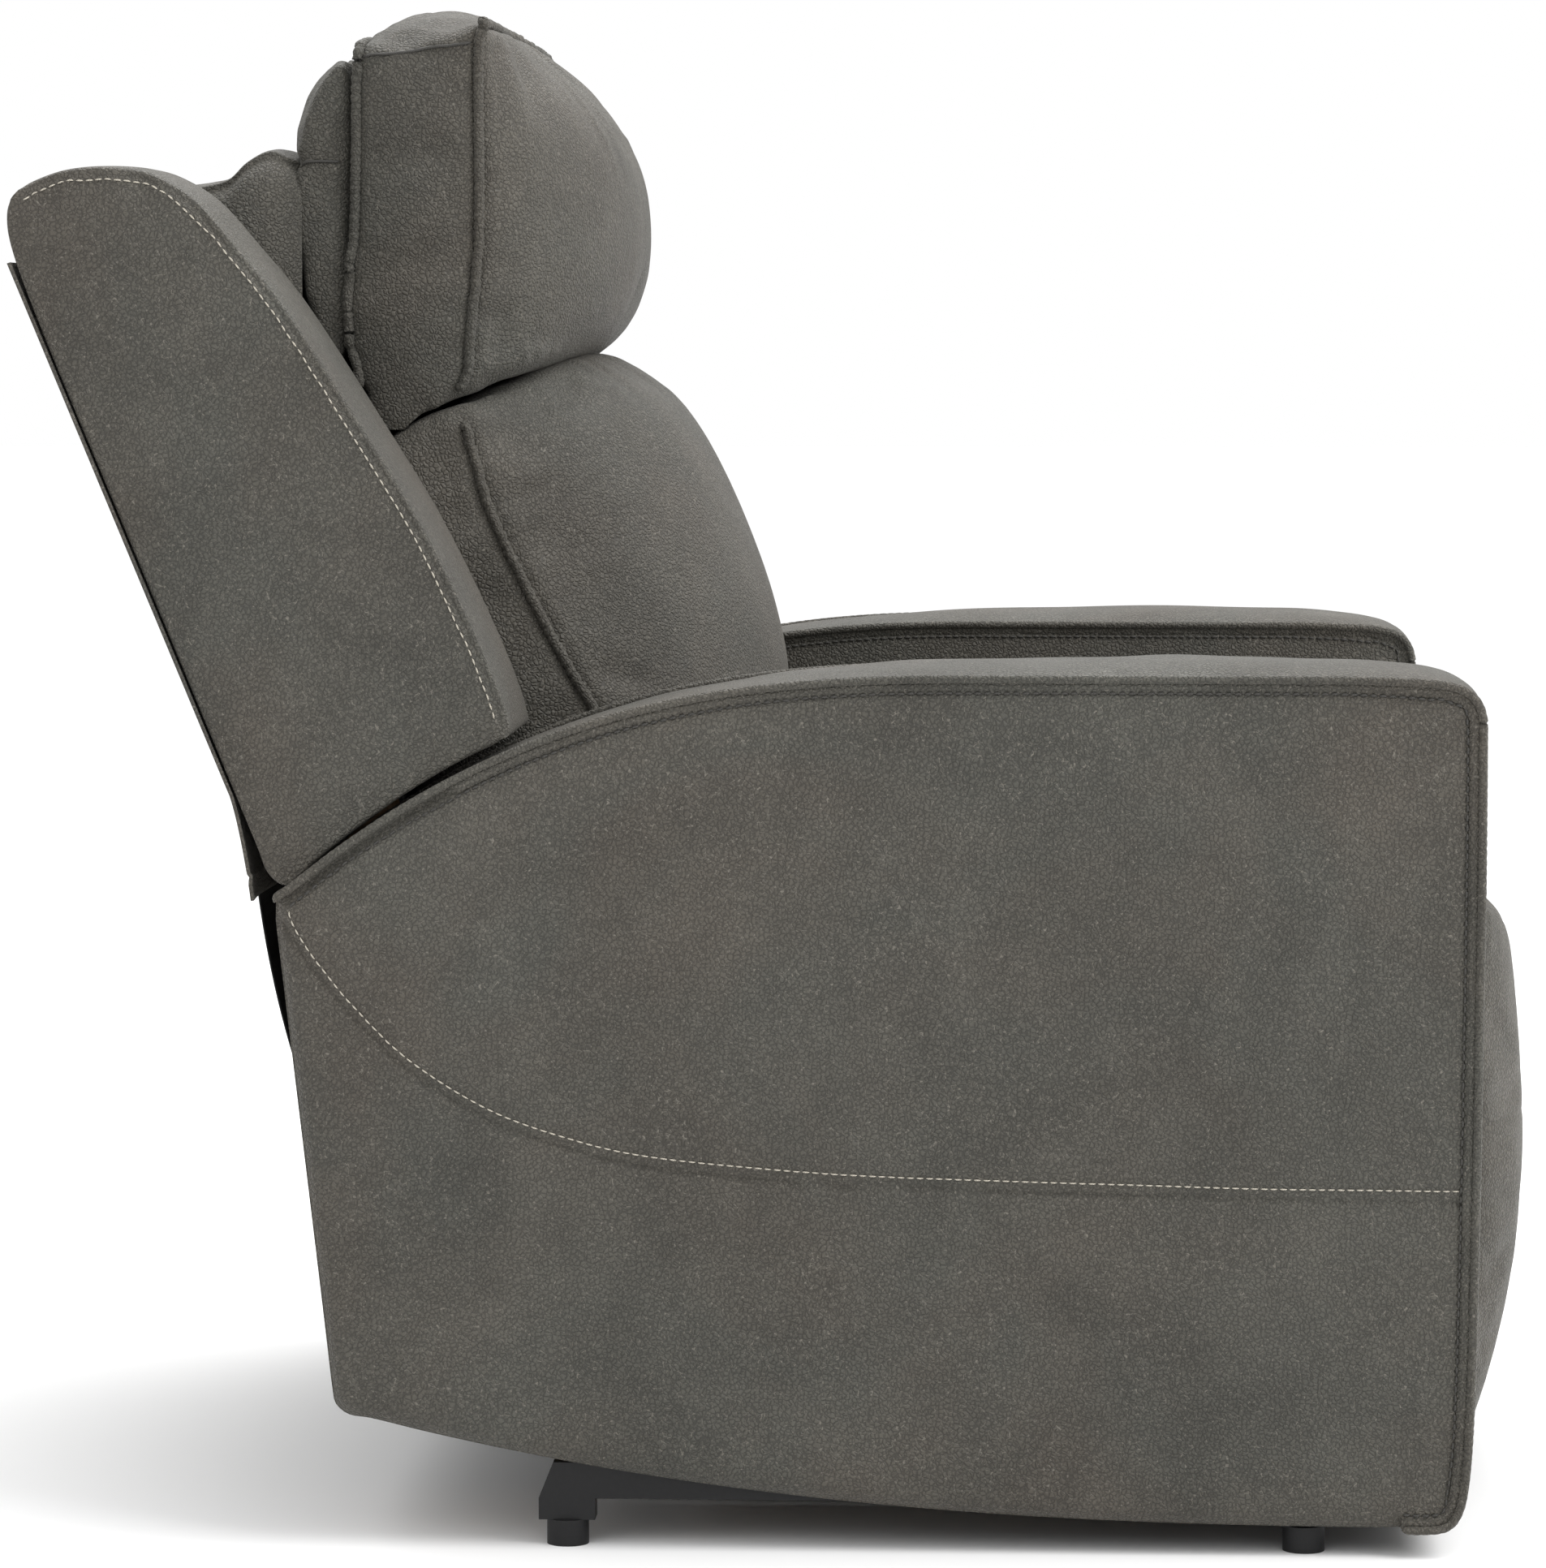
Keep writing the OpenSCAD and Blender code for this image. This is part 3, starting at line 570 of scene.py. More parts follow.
floor = floor_sheet()
paper, paper_tree, shader = new_material("studio_paper")
plug(paper_tree, shader, {"Base Color": (0.9, 0.9, 0.9, 1), "Roughness": 0.8})
floor.data.materials.append(paper)
lamp("top", (1.5, 0.1, 3.9), 2.0, 85)
lamp("front", (-1.3, -3.1, 3.9), 3.2, 170, (0, -0.2, 0.7))
lamp("side", (-4.6, 1.0, 3.0), 2.6, 20)

# %% A bright ceiling, drawn as a sky that grows lighter towards the top
room = bpy.data.worlds.new("room")
room.use_nodes = True
sky = room.node_tree
upwards = node(sky, "SeparateXYZ", {0: node(sky, "TexCoord").outputs["Generated"]}).outputs["Z"]
glow = node(sky, "MapRange", {"Value": upwards, "To Min": 0.52, "To Max": 1.5}).outputs[0]
seen = node(sky, "LightPath").outputs["Is Camera Ray"]
strength = node(sky, "Mix", {"Factor": seen, "A": glow, "B": 1.0}).outputs[0]
plug(sky, sky.nodes["Background"], {"Color": (1, 1, 1, 1), "Strength": strength})
bpy.context.scene.world = room
bpy.context.scene.view_settings.view_transform = "Standard"

# %% [markdown]
# ## Finishes
#
# The cover is a brushed faux suede. Close up it has a fine pebble grain with pale flecks between
# the pebbles; from further off it is clouded in warm and cool greys. Both effects are needed on
# several materials, so each is a node group with its own values, and every material keeps its own
# shader. All patterns are read in Object coordinates, which are the chair's own metres.


# %% Suede groups: the clouding, and the pebble grain
WARM, COOL, PALE = (0.0665, 0.0590, 0.0480), (0.0600, 0.0582, 0.0490), (0.25, 0.23, 0.195)

clouds, g_in, g_out = group(
    "suede_clouds", {"Scale": 1.0, "Tone": 1.0}, {"Color": "NodeSocketColor", "Worn": "NodeSocketFloat"}
)
where = own_place(clouds)
place = node(clouds, "VectorMath", {0: where, "Scale": g_in.outputs["Scale"]}, operation="SCALE").outputs[0]
broad = noise(clouds, place, 6.5, 5.0, 0.62, 0.5)
hue = noise(clouds, place, 4.1, 4.0, 0.55, 0.9)
brush = noise(clouds, place, 38.0, 4.0, 0.6)
base = ramp(clouds, hue.outputs["Fac"], [(0.36, WARM), (0.62, COOL)])
depth = ramp(clouds, broad.outputs["Fac"], [(0.30, (0.81, 0.81, 0.81)), (0.70, (1.17, 1.17, 1.17))])
streak = ramp(clouds, brush.outputs["Fac"], [(0.3, (0.91, 0.91, 0.91)), (0.7, (1.09, 1.09, 1.09))])
shade = mix(clouds, "MULTIPLY", 1.0, mix(clouds, "MULTIPLY", 1.0, base, depth), streak)
toned = node(clouds, "HueSaturation", {"Value": g_in.outputs["Tone"], "Color": shade})
clouds.links.new(toned.outputs[0], g_out.inputs["Color"])
clouds.links.new(broad.outputs["Fac"], g_out.inputs["Worn"])

grain, g_in, g_out = group(
    "pebble_grain", {"Size": 1.0}, {"Height": "NodeSocketFloat", "Fleck": "NodeSocketFloat"}
)
where = own_place(grain)
place = node(grain, "VectorMath", {0: where, "Scale": g_in.outputs["Size"]}, operation="SCALE").outputs[0]
wander = noise(grain, place, 90.0, 2.0)
bent = node(grain, "VectorMath", {0: wander.outputs["Color"], "Scale": 0.004}, operation="SCALE").outputs[0]
bent = node(grain, "VectorMath", {0: place, 1: bent}, operation="ADD").outputs[0]
pebble = node(grain, "TexVoronoi", {"Vector": bent, "Scale": 330.0}, feature="DISTANCE_TO_EDGE")
fine = noise(grain, place, 900.0, 2.0)
soft = node(grain, "MapRange", {0: pebble.outputs["Distance"], 2: 0.28}, interpolation_type="SMOOTHSTEP")
high = math_node(grain, "ADD", soft.outputs[0], math_node(grain, "MULTIPLY", fine.outputs["Fac"], 0.35))
patch = noise(grain, place, 420.0, 1.0)
groove = node(grain, "MapRange", {0: pebble.outputs["Distance"], 1: 0.10, 2: 0.0})
spot = node(grain, "MapRange", {0: patch.outputs["Fac"], 1: 0.52, 2: 0.68})
grain.links.new(high, g_out.inputs["Height"])
grain.links.new(math_node(grain, "MULTIPLY", groove.outputs[0], spot.outputs[0]), g_out.inputs["Fleck"])
print("suede groups made")


# %% Suede materials
def suede(name, tone=1.0, flecks=0.6):
    """Faux suede: clouded colour, pale flecks in the grooves, pebble grain with painted shade and highlight,
    and a soft sheen.
    """
    made, tree, shader = new_material(name)
    cloud = use_group(tree, clouds, Tone=tone)
    pebbles = use_group(tree, grain)
    amount = math_node(tree, "MULTIPLY", pebbles.outputs["Fleck"], flecks)
    # Painted shade and highlight on the grain: the colour falls to 0.62 where the grain is low and rises to
    # 1.18 on the pebble tops
    dark = ramp(tree, pebbles.outputs["Height"], [(0.1, (0.62,) * 3), (0.55, (1.0,) * 3), (1.0, (1.18,) * 3)])
    shaded_grain_colour = mix(tree, "MULTIPLY", 1.0, cloud.outputs["Color"], dark)
    plug(tree, shader, {
        "Base Color": mix(tree, "MIX", amount, shaded_grain_colour, (*PALE, 1)),
        "Roughness": ramp(tree, cloud.outputs["Worn"], [(0.3, (0.66,) * 3), (0.7, (0.54,) * 3)]),
        "Specular IOR Level": 0.32,
        "Sheen Weight": 0.12,
        "Sheen Roughness": 0.45,
        "Sheen Tint": (0.85, 0.83, 0.78, 1),
        "Normal": bumped(tree, pebbles.outputs["Height"], 0.8, 0.0009),
    })
    return made


cover = suede("grey_suede")
welt_cover = suede("grey_suede_welt", tone=0.95, flecks=0.3)


# %% Thread, cloth, wood, steel and plastic
def thread(name, colour, dark):
    """Twisted thread: its colour runs between two shades in fine slanted turns."""
    made, tree, shader = new_material(name)
    turns = {"Vector": own_place(tree), "Scale": 420.0, "Distortion": 1.5}
    twist = node(tree, "TexWave", turns, bands_direction="DIAGONAL").outputs["Fac"]
    plug(tree, shader, {"Base Color": ramp(tree, twist, [(0.2, dark), (0.8, colour)]), "Roughness": 0.6})
    return made


def speckled(name, low, high, scale, rough, metal=0.0, bump=0.1, coat=0.0):
    """A finish whose colour, roughness and surface all follow one fine noise."""
    made, tree, shader = new_material(name)
    where = own_place(tree)
    specks = noise(tree, where, scale, 4.0, 0.6).outputs["Fac"]
    worn = noise(tree, where, 9.0, 5.0).outputs["Fac"]
    tone = mix(tree, "MIX", specks, (*low, 1), (*high, 1))
    dust = ramp(tree, worn, [(0.35, (0.86,) * 3), (0.7, (1.12,) * 3)])
    plug(tree, shader, {
        "Base Color": mix(tree, "MULTIPLY", 1.0, tone, dust),
        "Roughness": ramp(tree, worn, [(0.3, (rough * 0.85,) * 3), (0.7, (rough * 1.15,) * 3)]),
        "Metallic": metal,
        "Specular IOR Level": 0.25,
        "Coat Weight": coat,
        "Normal": bumped(tree, specks, bump, 0.0004),
    })
    return made


def woven(name, low, high, pitch):
    """Plain weave: two crossed sets of waves, one for each direction of yarn."""
    made, tree, shader = new_material(name)
    yarns = {"Vector": own_place(tree), "Scale": pitch, "Distortion": 0.4}
    warp = node(tree, "TexWave", yarns, bands_direction="X").outputs["Fac"]
    weft = node(tree, "TexWave", yarns, bands_direction="Z").outputs["Fac"]
    weave = math_node(tree, "MULTIPLY", warp, weft)
    plug(tree, shader, {
        "Base Color": mix(tree, "MIX", weave, (*low, 1), (*high, 1)),
        "Roughness": 0.9,
        "Normal": bumped(tree, weave, 0.4, 0.0005),
    })
    return made


def timber(name, light, dark):
    """Sawn softwood: rings bent by noise and drawn out along the board."""
    made, tree, shader = new_material(name)
    long = node(tree, "Mapping", {"Vector": own_place(tree), "Scale": (6.0, 60.0, 60.0)}).outputs[0]
    rings = noise(tree, long, 1.0, 6.0, 0.65, 1.2).outputs["Fac"]
    plug(tree, shader, {
        "Base Color": ramp(tree, rings, [(0.35, dark), (0.65, light)]),
        "Roughness": 0.7,
        "Normal": bumped(tree, rings, 0.2, 0.0006),
    })
    return made


light_thread = thread("light_thread", (0.52, 0.48, 0.40), (0.30, 0.275, 0.23))
# Thread darker than the cover: real seam thread, darkened further as painted shade of the groove it lies in
groove_shade_thread = thread("groove_shade_thread", (0.045, 0.042, 0.036), (0.018, 0.017, 0.015))
black_steel = speckled(
    "satin_black_steel", (0.006, 0.006, 0.0065), (0.014, 0.014, 0.0145), 260, 0.42, coat=0.05
)
zinc = speckled("zinc_plated_steel", (0.42, 0.41, 0.38), (0.60, 0.58, 0.54), 120, 0.34, metal=1.0)
black_plastic = speckled(
    "moulded_black_plastic", (0.009, 0.009, 0.0095), (0.017, 0.017, 0.0175), 700, 0.5, bump=0.35
)
button_plastic = speckled(
    "button_plastic", (0.05, 0.05, 0.053), (0.085, 0.085, 0.09), 900, 0.35, bump=0.15, coat=0.2
)
black_cloth = woven("black_dust_cloth", (0.006, 0.006, 0.006), (0.026, 0.026, 0.026), 260)
webbing = woven("elastic_webbing", (0.02, 0.02, 0.02), (0.09, 0.088, 0.08), 150)
wood = timber("frame_timber", (0.42, 0.29, 0.17), (0.26, 0.16, 0.08))
print("materials", len(bpy.data.materials))

# %% [markdown]
# ## Finishing the CAD parts
#
# The steel, wood and plastic parts already have the right shape, so they only get better
# materials. A part's own material slots are filled in place, and its mesh is left alone.

# %% Materials on the CAD parts
finish_of = {
    black_steel: ["base_rail", "cross_tube", "bracket"],
    zinc: ["rivets", "headrest_rod"],
    black_plastic: ["glides", "control_panel", "control_box", "power_inlet", "recline_motor", "drive_block",
                    "headrest_motor"],
    button_plastic: ["button"],
    wood: ["arm_frames", "rear_cross_rail", "seat_rear_rail", "back_stiles"],
    webbing: ["webbing"],
    black_cloth: ["dust_cover", "footrest_board", "seat_front_rail", "back_rails", "headrest_frame"],
}
covered = ("panel", "pad", "cushion", "wing", "outside_back")
for name, part in nodes.items():
    chosen = black_steel
    for finish, words in finish_of.items():
        if any(word in name for word in words):
            chosen = finish
    if any(word in name for word in covered) and "control" not in name:
        chosen = cover
    part.data.materials.clear()
    part.data.materials.append(chosen)
print(len(nodes), "CAD parts finished")


# %% One call to finish an upholstered piece
def dress(obj, body, finish=None, replaced=()):
    """Gives a piece its material and its body, and hides the CAD nodes it stands for."""
    obj.data.materials.clear()
    obj.data.materials.append(finish or cover)
    if body:
        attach(obj, body)
    if replaced:
        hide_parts(*replaced)
    print(obj.name, len(obj.data.polygons), "faces")
    return obj


def waves(p, seed, size):
    """Gentle hollows and swellings: a sum of plane waves with random directions, about one in height."""
    draw = np.random.default_rng(seed)
    total = np.zeros(p.shape[:-1])
    for _ in range(14):
        way = draw.normal(size=p.shape[-1])
        way *= 2 * np.pi / (size * draw.uniform(0.5, 1.8)) / np.linalg.norm(way)
        total += np.sin(p @ way + draw.uniform(0, 6.28))
    return total / math.sqrt(14)


# %% [markdown]
# ## The arms
#
# Each arm is a wooden frame in four covers: an outer panel, an inner panel, and one long padded
# band that runs up the front, over the top and down the rear. A welt closes each seam between them.
# A panel is made of rings that shrink from its outline to its middle, so its grid follows the seam
# exactly, and its height above the frame depends on how far each point is from a seam.

# %% Arm outline
ARM_WELT, ARM_DITCH = 3.1, 5.6
LOW_CORNER = [(46, 20.4), (28, 20.4), (16, 22.5), (9, 30), (4.5, 46)]
TOP_CORNER = [(-4, 560), (-3.5, 576), (0.5, 587), (10, 594.5), (28, 598.5), (54, 600)]


def arm_outline(count):
    """The side view of the arm, from the lower front corner up the front, over the top and down."""
    top = np.linspace(84, ARM_LEN - 14, 26)
    low = np.linspace(ARM_FOOT - 26, 70, 22)
    rear = np.linspace(430, 108, 9)
    points = LOW_CORNER + [(1.5, 80), (-0.5, 140), (-2, 230), (-3, 340), (-4, 450)] + TOP_CORNER
    points += list(zip(top, arm_top(top)))
    points += [(ARM_LEN - 3, ARM_H - ARM_DROP + 4), (ARM_LEN - 1.5, ARM_H - ARM_DROP - 6)]
    points += list(zip(arm_rear(rear), rear)) + [(ARM_FOOT - 1, 99), (ARM_FOOT - 10, 92)]
    points += list(zip(low, arm_bottom(low)))
    return spline(points, count, closed=True)


outline = arm_outline(640)
band_end = index_near(outline, (ARM_FOOT, 98))
corner = index_near(outline, (ARM_LEN, ARM_H - ARM_DROP))
plain_edge = np.concatenate([outline[corner:], outline[:8]])
print("arm outline", len(outline), "points; rear corner at", corner, "band ends at", band_end)

# %% The curved seam on the outer panel
side_stitch = spline([
    (814, 441), (804, 424), (788, 402), (766, 376), (727, 339), (672, 305), (616, 285), (561, 273),
    (477, 264.5), (394, 260), (284, 257), (140, 254), (3, 252),
], 400)
side_seam = spline(np.array(side_stitch) + [[-1.5, -6.5]], 400)


def flat_distance(p, line):
    """Distance in the side view from each point of a grid to a line."""
    return seam_distance(p.reshape(-1, 2), [line]).reshape(p.shape[:-1])


def panel(name, edge, side, inner_x, outer_x, lift, middle=(400.0, 300.0), under=None, wall=None, rings=100):
    """A closed panel: rings from its inner face's middle, over its wall, to its outer face's middle."""
    k = np.linspace(0, 1, rings)
    k = 0.62 * k + 0.38 * (1 - (1 - k) ** 3)
    k = np.concatenate([k, 1 - (1 - k[-2]) * np.array([0.8, 0.6, 0.4, 0.2, 0.1])])
    k = np.sort(k)[:, None, None]
    face = np.asarray(middle) + (edge[None] - middle) * k
    outer = np.concatenate([outer_x + lift(face)[..., None], face], 2)[::-1]
    if under is None:
        face = np.asarray(middle) + (edge[None] - middle) * np.linspace(0, 1, 12)[:, None, None]
        inner = np.concatenate([np.full(face.shape[:2] + (1,), inner_x), face], 2)
    else:
        inner = np.concatenate([inner_x - under(face)[..., None], face], 2)
    strips = [inner, outer]
    if wall is not None:
        share = np.linspace(0, 1, 42)[1:-1, None, None]
        strips.insert(1, inner[-1:] + (outer[:1] - inner[-1:]) * share + wall(share))
    p = np.concatenate(strips)
    p[..., 0] *= side
    return grid(name, p, wrap=True)


def round_edge(away, radius):
    """How far a rounded edge falls back: a quarter circle of that radius, nothing beyond it."""
    inside = np.clip(1 - away / radius, 0, 1)
    return radius * (1 - np.sqrt(1 - inside**2))


def outer_lift(seed):
    """Height over the frame: rounded at the rear and foot, grooved at its seams, and a little uneven."""

    def lift(p):
        """The height at each point of a grid in the side view."""
        edge, seam = flat_distance(p, outline), flat_distance(p, side_seam)
        welted = np.clip((flat_distance(p, plain_edge) - 12) / 14, 0, 1)
        swell = 3.2 * swelling(edge, 12) + 2.4 * swelling(edge, 90)
        groove = 2.4 * bell(seam, 1.9) + 1.3 * bell(seam, 13)
        groove += 4.8 * bell(edge - ARM_DITCH, 1.9) * welted
        rounding = round_edge(edge, 11.0) * (1 - welted)
        return swell - groove - rounding + 0.6 * waves(p, seed, 170) * swelling(edge, 40)

    return lift


def inner_lift(p):
    """The inner panel swells only a little, because the seat slides past it."""
    edge = flat_distance(p, outline)
    return 1.6 * bell(edge - 6.4, 2.1) - 2.0 * swelling(edge, 20)


# %% Band over the front, top and rear
def band(name, side, seed):
    """A padded strip: a crowned profile across the arm, carried along its outline."""
    path = resample(outline[:band_end], 620)
    tangent = tangents(path)
    out = np.stack([-tangent[:, 1], tangent[:, 0]], 1)
    across = np.linspace(-1, 1, 72)
    across = np.sign(across) * np.abs(across) ** 0.85
    y, z = path.T
    way = np.linspace(0, 1, len(path))
    on_top = np.interp(y, [0, 60, 186, 373, 475, 600, 819], [4, 9, 12, 8, 3.5, 2, 1.5])
    high = np.where(way < 0.28, 1.8, np.where(way > 0.79, 2.5, on_top))
    high = np.convolve(np.pad(high, 8, mode="edge"), np.ones(17) / 17, "valid")
    lift = high[:, None] * (1 - np.abs(across)[None] ** 3.0)
    wide = np.where(np.arange(len(path)) / len(path) < 0.735, 80.0, 71.0)[:, None]
    wide = np.convolve(np.pad(wide[:, 0], 6, mode="edge"), np.ones(13) / 13, "valid")[:, None]
    x = 372.5 + wide * across - (80 - wide)
    flat = stacked(x, y[:, None], z[:, None])
    near = 1 - np.abs(across)[None] ** 6
    lift = lift + 0.5 * waves(flat, seed, 90) * near
    top = stacked(x, y[:, None] + out[:, :1] * lift, z[:, None] + out[:, 1:] * lift)
    under_x = x[:, -1:] + (x[:, :1] - x[:, -1:]) * np.linspace(0, 1, 12)
    under = stacked(under_x, y[:, None] - 9.0 * out[:, :1], z[:, None] - 9.0 * out[:, 1:])
    rings = np.concatenate([top, under], 1)
    rings[..., 0] *= side
    return lofted(name, rings)


for side, hand in HANDS:
    outer = panel(f"{hand}_arm_outer_cover", outline, side, 444, 450, outer_lift(11 + side))
    dress(outer, "base", replaced=[f"{hand}_arm_side_panel"])
    inner = panel(f"{hand}_arm_inner_cover", outline, side, 300, 292, inner_lift)
    dress(inner, "base", replaced=[f"{hand}_arm_inner_panel"])
    strip = band(f"{hand}_arm_band", side, 21 + side)
    dress(strip, "base", replaced=[f"{hand}_arm_front_panel", f"{hand}_arm_top_pad"])

# %% Welts and stitching on the arms
seam_line = outline[: corner + 1]
turned = tangents(outline, closed=True)
inwards = np.stack([turned[:, 1], -turned[:, 0]], 1)[: corner + 1]
for side, hand in HANDS:
    for x, far, place in ((452.5, 470, "outer"), (291.5, 270, "inner")):
        path = at_x(side * x, seam_line - inwards * 0.6)
        dress(welt(f"{hand}_arm_{place}_welt", path, ARM_WELT, dent=0.1), "base")
        tree = surface_of(bpy.data.objects[f"{hand}_arm_{place}_cover"])
        path = at_x(side * far, seam_line + inwards * ARM_DITCH)
        on, normal = dropped(resample(path, 700), tree)
        # The dark thread in the ditch is seam thread that also paints the ditch's shade
        row = stitches(f"{hand}_arm_{place}_seam_thread", on, normal, 5.4, 1.0, 0.0)
        dress(row, "base", groove_shade_thread)
    tree = surface_of(bpy.data.objects[f"{hand}_arm_outer_cover"])
    on, normal = dropped(at_x(side * 470, side_stitch), tree, 0.1)
    dress(stitches(f"{hand}_arm_stitching", on, normal), "base", light_thread)

# %% [markdown]
# ## Shapes between two side views
#
# A boxed cushion is narrow at its side seams and crowned in the middle. It is drawn as two closed
# side views with matching points, one at the seam and one at the middle; every slice between them
# is a blend of the two, and the blend's power says how square or how round the crown is.


# %% Crowned forms
SAMPLES = 10


def matched(points):
    """A closed smooth outline with the same number of samples between each pair of given points."""
    p = np.asarray(points, float)
    return catmull_rom(np.vstack([p[-1:], p, p[:2]]), SAMPLES)


def slices_at(edge, middle, power, shares):
    """Side views at shares of the half width: edge + (middle - edge) * (1 - |share| ** power) ** 0.9."""
    power = np.repeat(np.broadcast_to(power, len(edge)), SAMPLES)[:, None]
    a, b = matched(edge), matched(middle)
    return a + (b - a) * (1 - np.abs(shares)[:, None, None] ** power) ** 0.9


def crowned(name, half, edge, middle, power):
    """Slices from side to side, at sine steps so that they crowd at the seams, with flat ends."""
    shares = np.sin(np.linspace(-1, 1, 90) * np.pi / 2)
    flat = slices_at(edge, middle, power, shares)
    x = np.broadcast_to(half * shares[:, None, None], flat.shape[:2] + (1,))
    return lofted(name, np.concatenate([x, flat], 2))


def seam_along(half, edge, first, last):
    """A side seam: the edge outline between two of its points, on the right-hand side."""
    flat = matched(edge)[int(first * SAMPLES) : int(last * SAMPLES) + 1]
    return at_x(-half, flat)


def seam_across(half, edge, middle, power, at):
    """A seam from side to side at one matching point of the two outlines."""
    shares = np.linspace(-1, 1, 120)
    flat = slices_at(edge, middle, power, shares)[:, int(at * SAMPLES)]
    return np.concatenate([shares[:, None] * half, flat], 1)


def hoop(half, edge, middle, power, at, foot):
    """A seam that climbs one side from foot to at, crosses over, and goes down the other side."""
    rise = seam_along(half, edge, min(at, foot), max(at, foot))
    rise = rise if foot < at else rise[::-1]
    over = seam_across(half, edge, middle, power, at)
    return np.concatenate([rise[:-1], over, (rise * [-1, 1, 1])[:-1][::-1]])


def rounded_path(path, count):
    """The path at even steps, each point averaged six times with its neighbours."""
    path = resample(path, count)
    for _ in range(6):
        path[1:-1] = (path[:-2] + 2 * path[1:-1] + path[2:]) / 4
    return path


def lay_welts(obj, seams, names, body, radius, lift, count):
    """Eases each seam, drops it onto the finished cover, and lays a welt along it."""
    tree = surface_of(obj)
    for seam, name in zip(seams, names):
        on, _ = dropped(rounded_path(seam, count), tree, lift)
        dress(welt(name, on, radius), body, welt_cover)


def lay_seams(obj, name, line, far, body):
    """A plain seam on both sides of a piece: a thin tube, sunk to its middle in the cover, darkened as
    painted shade of the seam's groove.
    """
    tree = surface_of(obj)
    for side, hand in HANDS:
        on, _ = dropped(at_x(side * far, line), tree, 0.1)
        dress(welt(f"{hand}_{name}", on, 1.3), body, groove_shade_thread)


def sheet_object(name, p, thickness):
    """A grid sheet given its thickness by Solidify."""
    obj = grid(name, p)
    thick = obj.modifiers.new("thickness", "SOLIDIFY")
    thick.thickness, thick.offset = thickness * 0.001, 0
    return applied(obj)


# %% [markdown]
# ## Seat cushion
#
# The seat is a block of foam under a cover that is drawn tight over its front edge. Its nose is cut
# away below, so that the footrest can swing past it.

# %% Seat cushion
seat_edge = [
    (30, 404), (6, 422), (-10, 442), (-14, 456), (-6, 480), (34, 492), (200, 494), (400, 489),
    (560, 480), (570, 470), (570, 430), (566, 402), (400, 401), (200, 401),
]
seat_middle = [
    (30, 403), (6, 421), (-13, 442), (-18, 458), (-8, 486), (34, 505), (200, 511), (400, 503),
    (560, 490), (571, 480), (571, 430), (566, 402), (400, 401), (200, 401),
]
seat = crowned("seat_cover", SEAT_HALF, seat_edge, seat_middle, 4.0)
seat_side = [seam_along(SEAT_HALF, seat_edge, 3, 9)]
seat_side.append(seat_side[0] * [-1, 1, 1])
seat_front = [seam_across(SEAT_HALF, seat_edge, seat_middle, 4, 3)]
stuffed(seat, seat_side + seat_front, 8, 4.0, 9)
pulled_in(seat, seat_side + seat_front, 2.0, 5)
puckered(seat, seat_side, 1.2, 34, 60, 3)
puckered(seat, seat_front, 0.8, 42, 50, 4)
dress(seat, "seat", replaced=["seat_cushion"])
names = ("right_seat_welt", "left_seat_welt", "front_seat_welt")
lay_welts(seat, seat_side + seat_front, names, "seat", 2.8, 0.6, 300)

# %% Apron below the seat's nose
def seat_apron():
    """A cloth that follows the cut-away nose, then hangs down over the front rail."""
    profile = spline([(-13, 447), (-5, 432), (8, 415), (21, 404), (23.5, 392), (24, 370), (24.5, 335)], 60)
    a = np.linspace(-281, 281, 160)[None]
    y = profile[:, :1] - 0.8 * np.sin(a / 31) * np.linspace(0, 1, 60)[:, None]
    z = profile[:, 1:]
    return sheet_object("seat_apron", stacked(a, y, z), 1.4)


apron = dress(seat_apron(), "seat")

# %% [markdown]
# ## Footrest pad
#
# When the chair is closed this pad is its front apron. It is a thin foam pad on a board, fullest
# at half its height, where the cover is drawn in a little along one quilting line.

# %% Footrest pad
foot_edge = [
    (12, 37), (2, 41), (-4, 70), (-9, 120), (-12, 172), (-13, 224), (-13.5, 250), (-13.5, 276),
    (-13, 327), (-12, 378), (-12, 408), (-10, 428), (2, 420), (12, 400), (12.6, 250), (12.6, 120),
]
foot_middle = [
    (12, 36), (-10, 42), (-23, 70), (-38, 120), (-48, 172), (-52.5, 224), (-53.5, 250), (-53, 276),
    (-50, 327), (-45, 378), (-40, 408), (-31, 431), (-8, 424), (12, 401), (12.6, 250), (12.6, 120),
]
foot = crowned("footrest_cover", FOOT_HALF, foot_edge, foot_middle, 8.0)
foot_sides = [seam_along(FOOT_HALF, foot_edge, 1, 11)]
foot_sides.append(foot_sides[0] * [-1, 1, 1])
foot_quilt = [seam_across(FOOT_HALF, foot_edge, foot_middle, 8, 7.0)]
stuffed(foot, foot_sides, 7, 2.0, 4)
pulled_in(foot, foot_quilt, 1.8, 4)
puckered(foot, foot_quilt, 1.1, 38, 36, 5)
puckered(foot, foot_sides, 1.0, 40, 45, 6)
dress(foot, "footrest", replaced=["footrest_pad"])

# %% [markdown]
# ## Back cushion
#
# The lumbar cushion is the fullest piece: its side seams lie far behind its front, and it ends in
# a ridge under the headrest. Cloth simulation gives the cover its slack and its short folds.

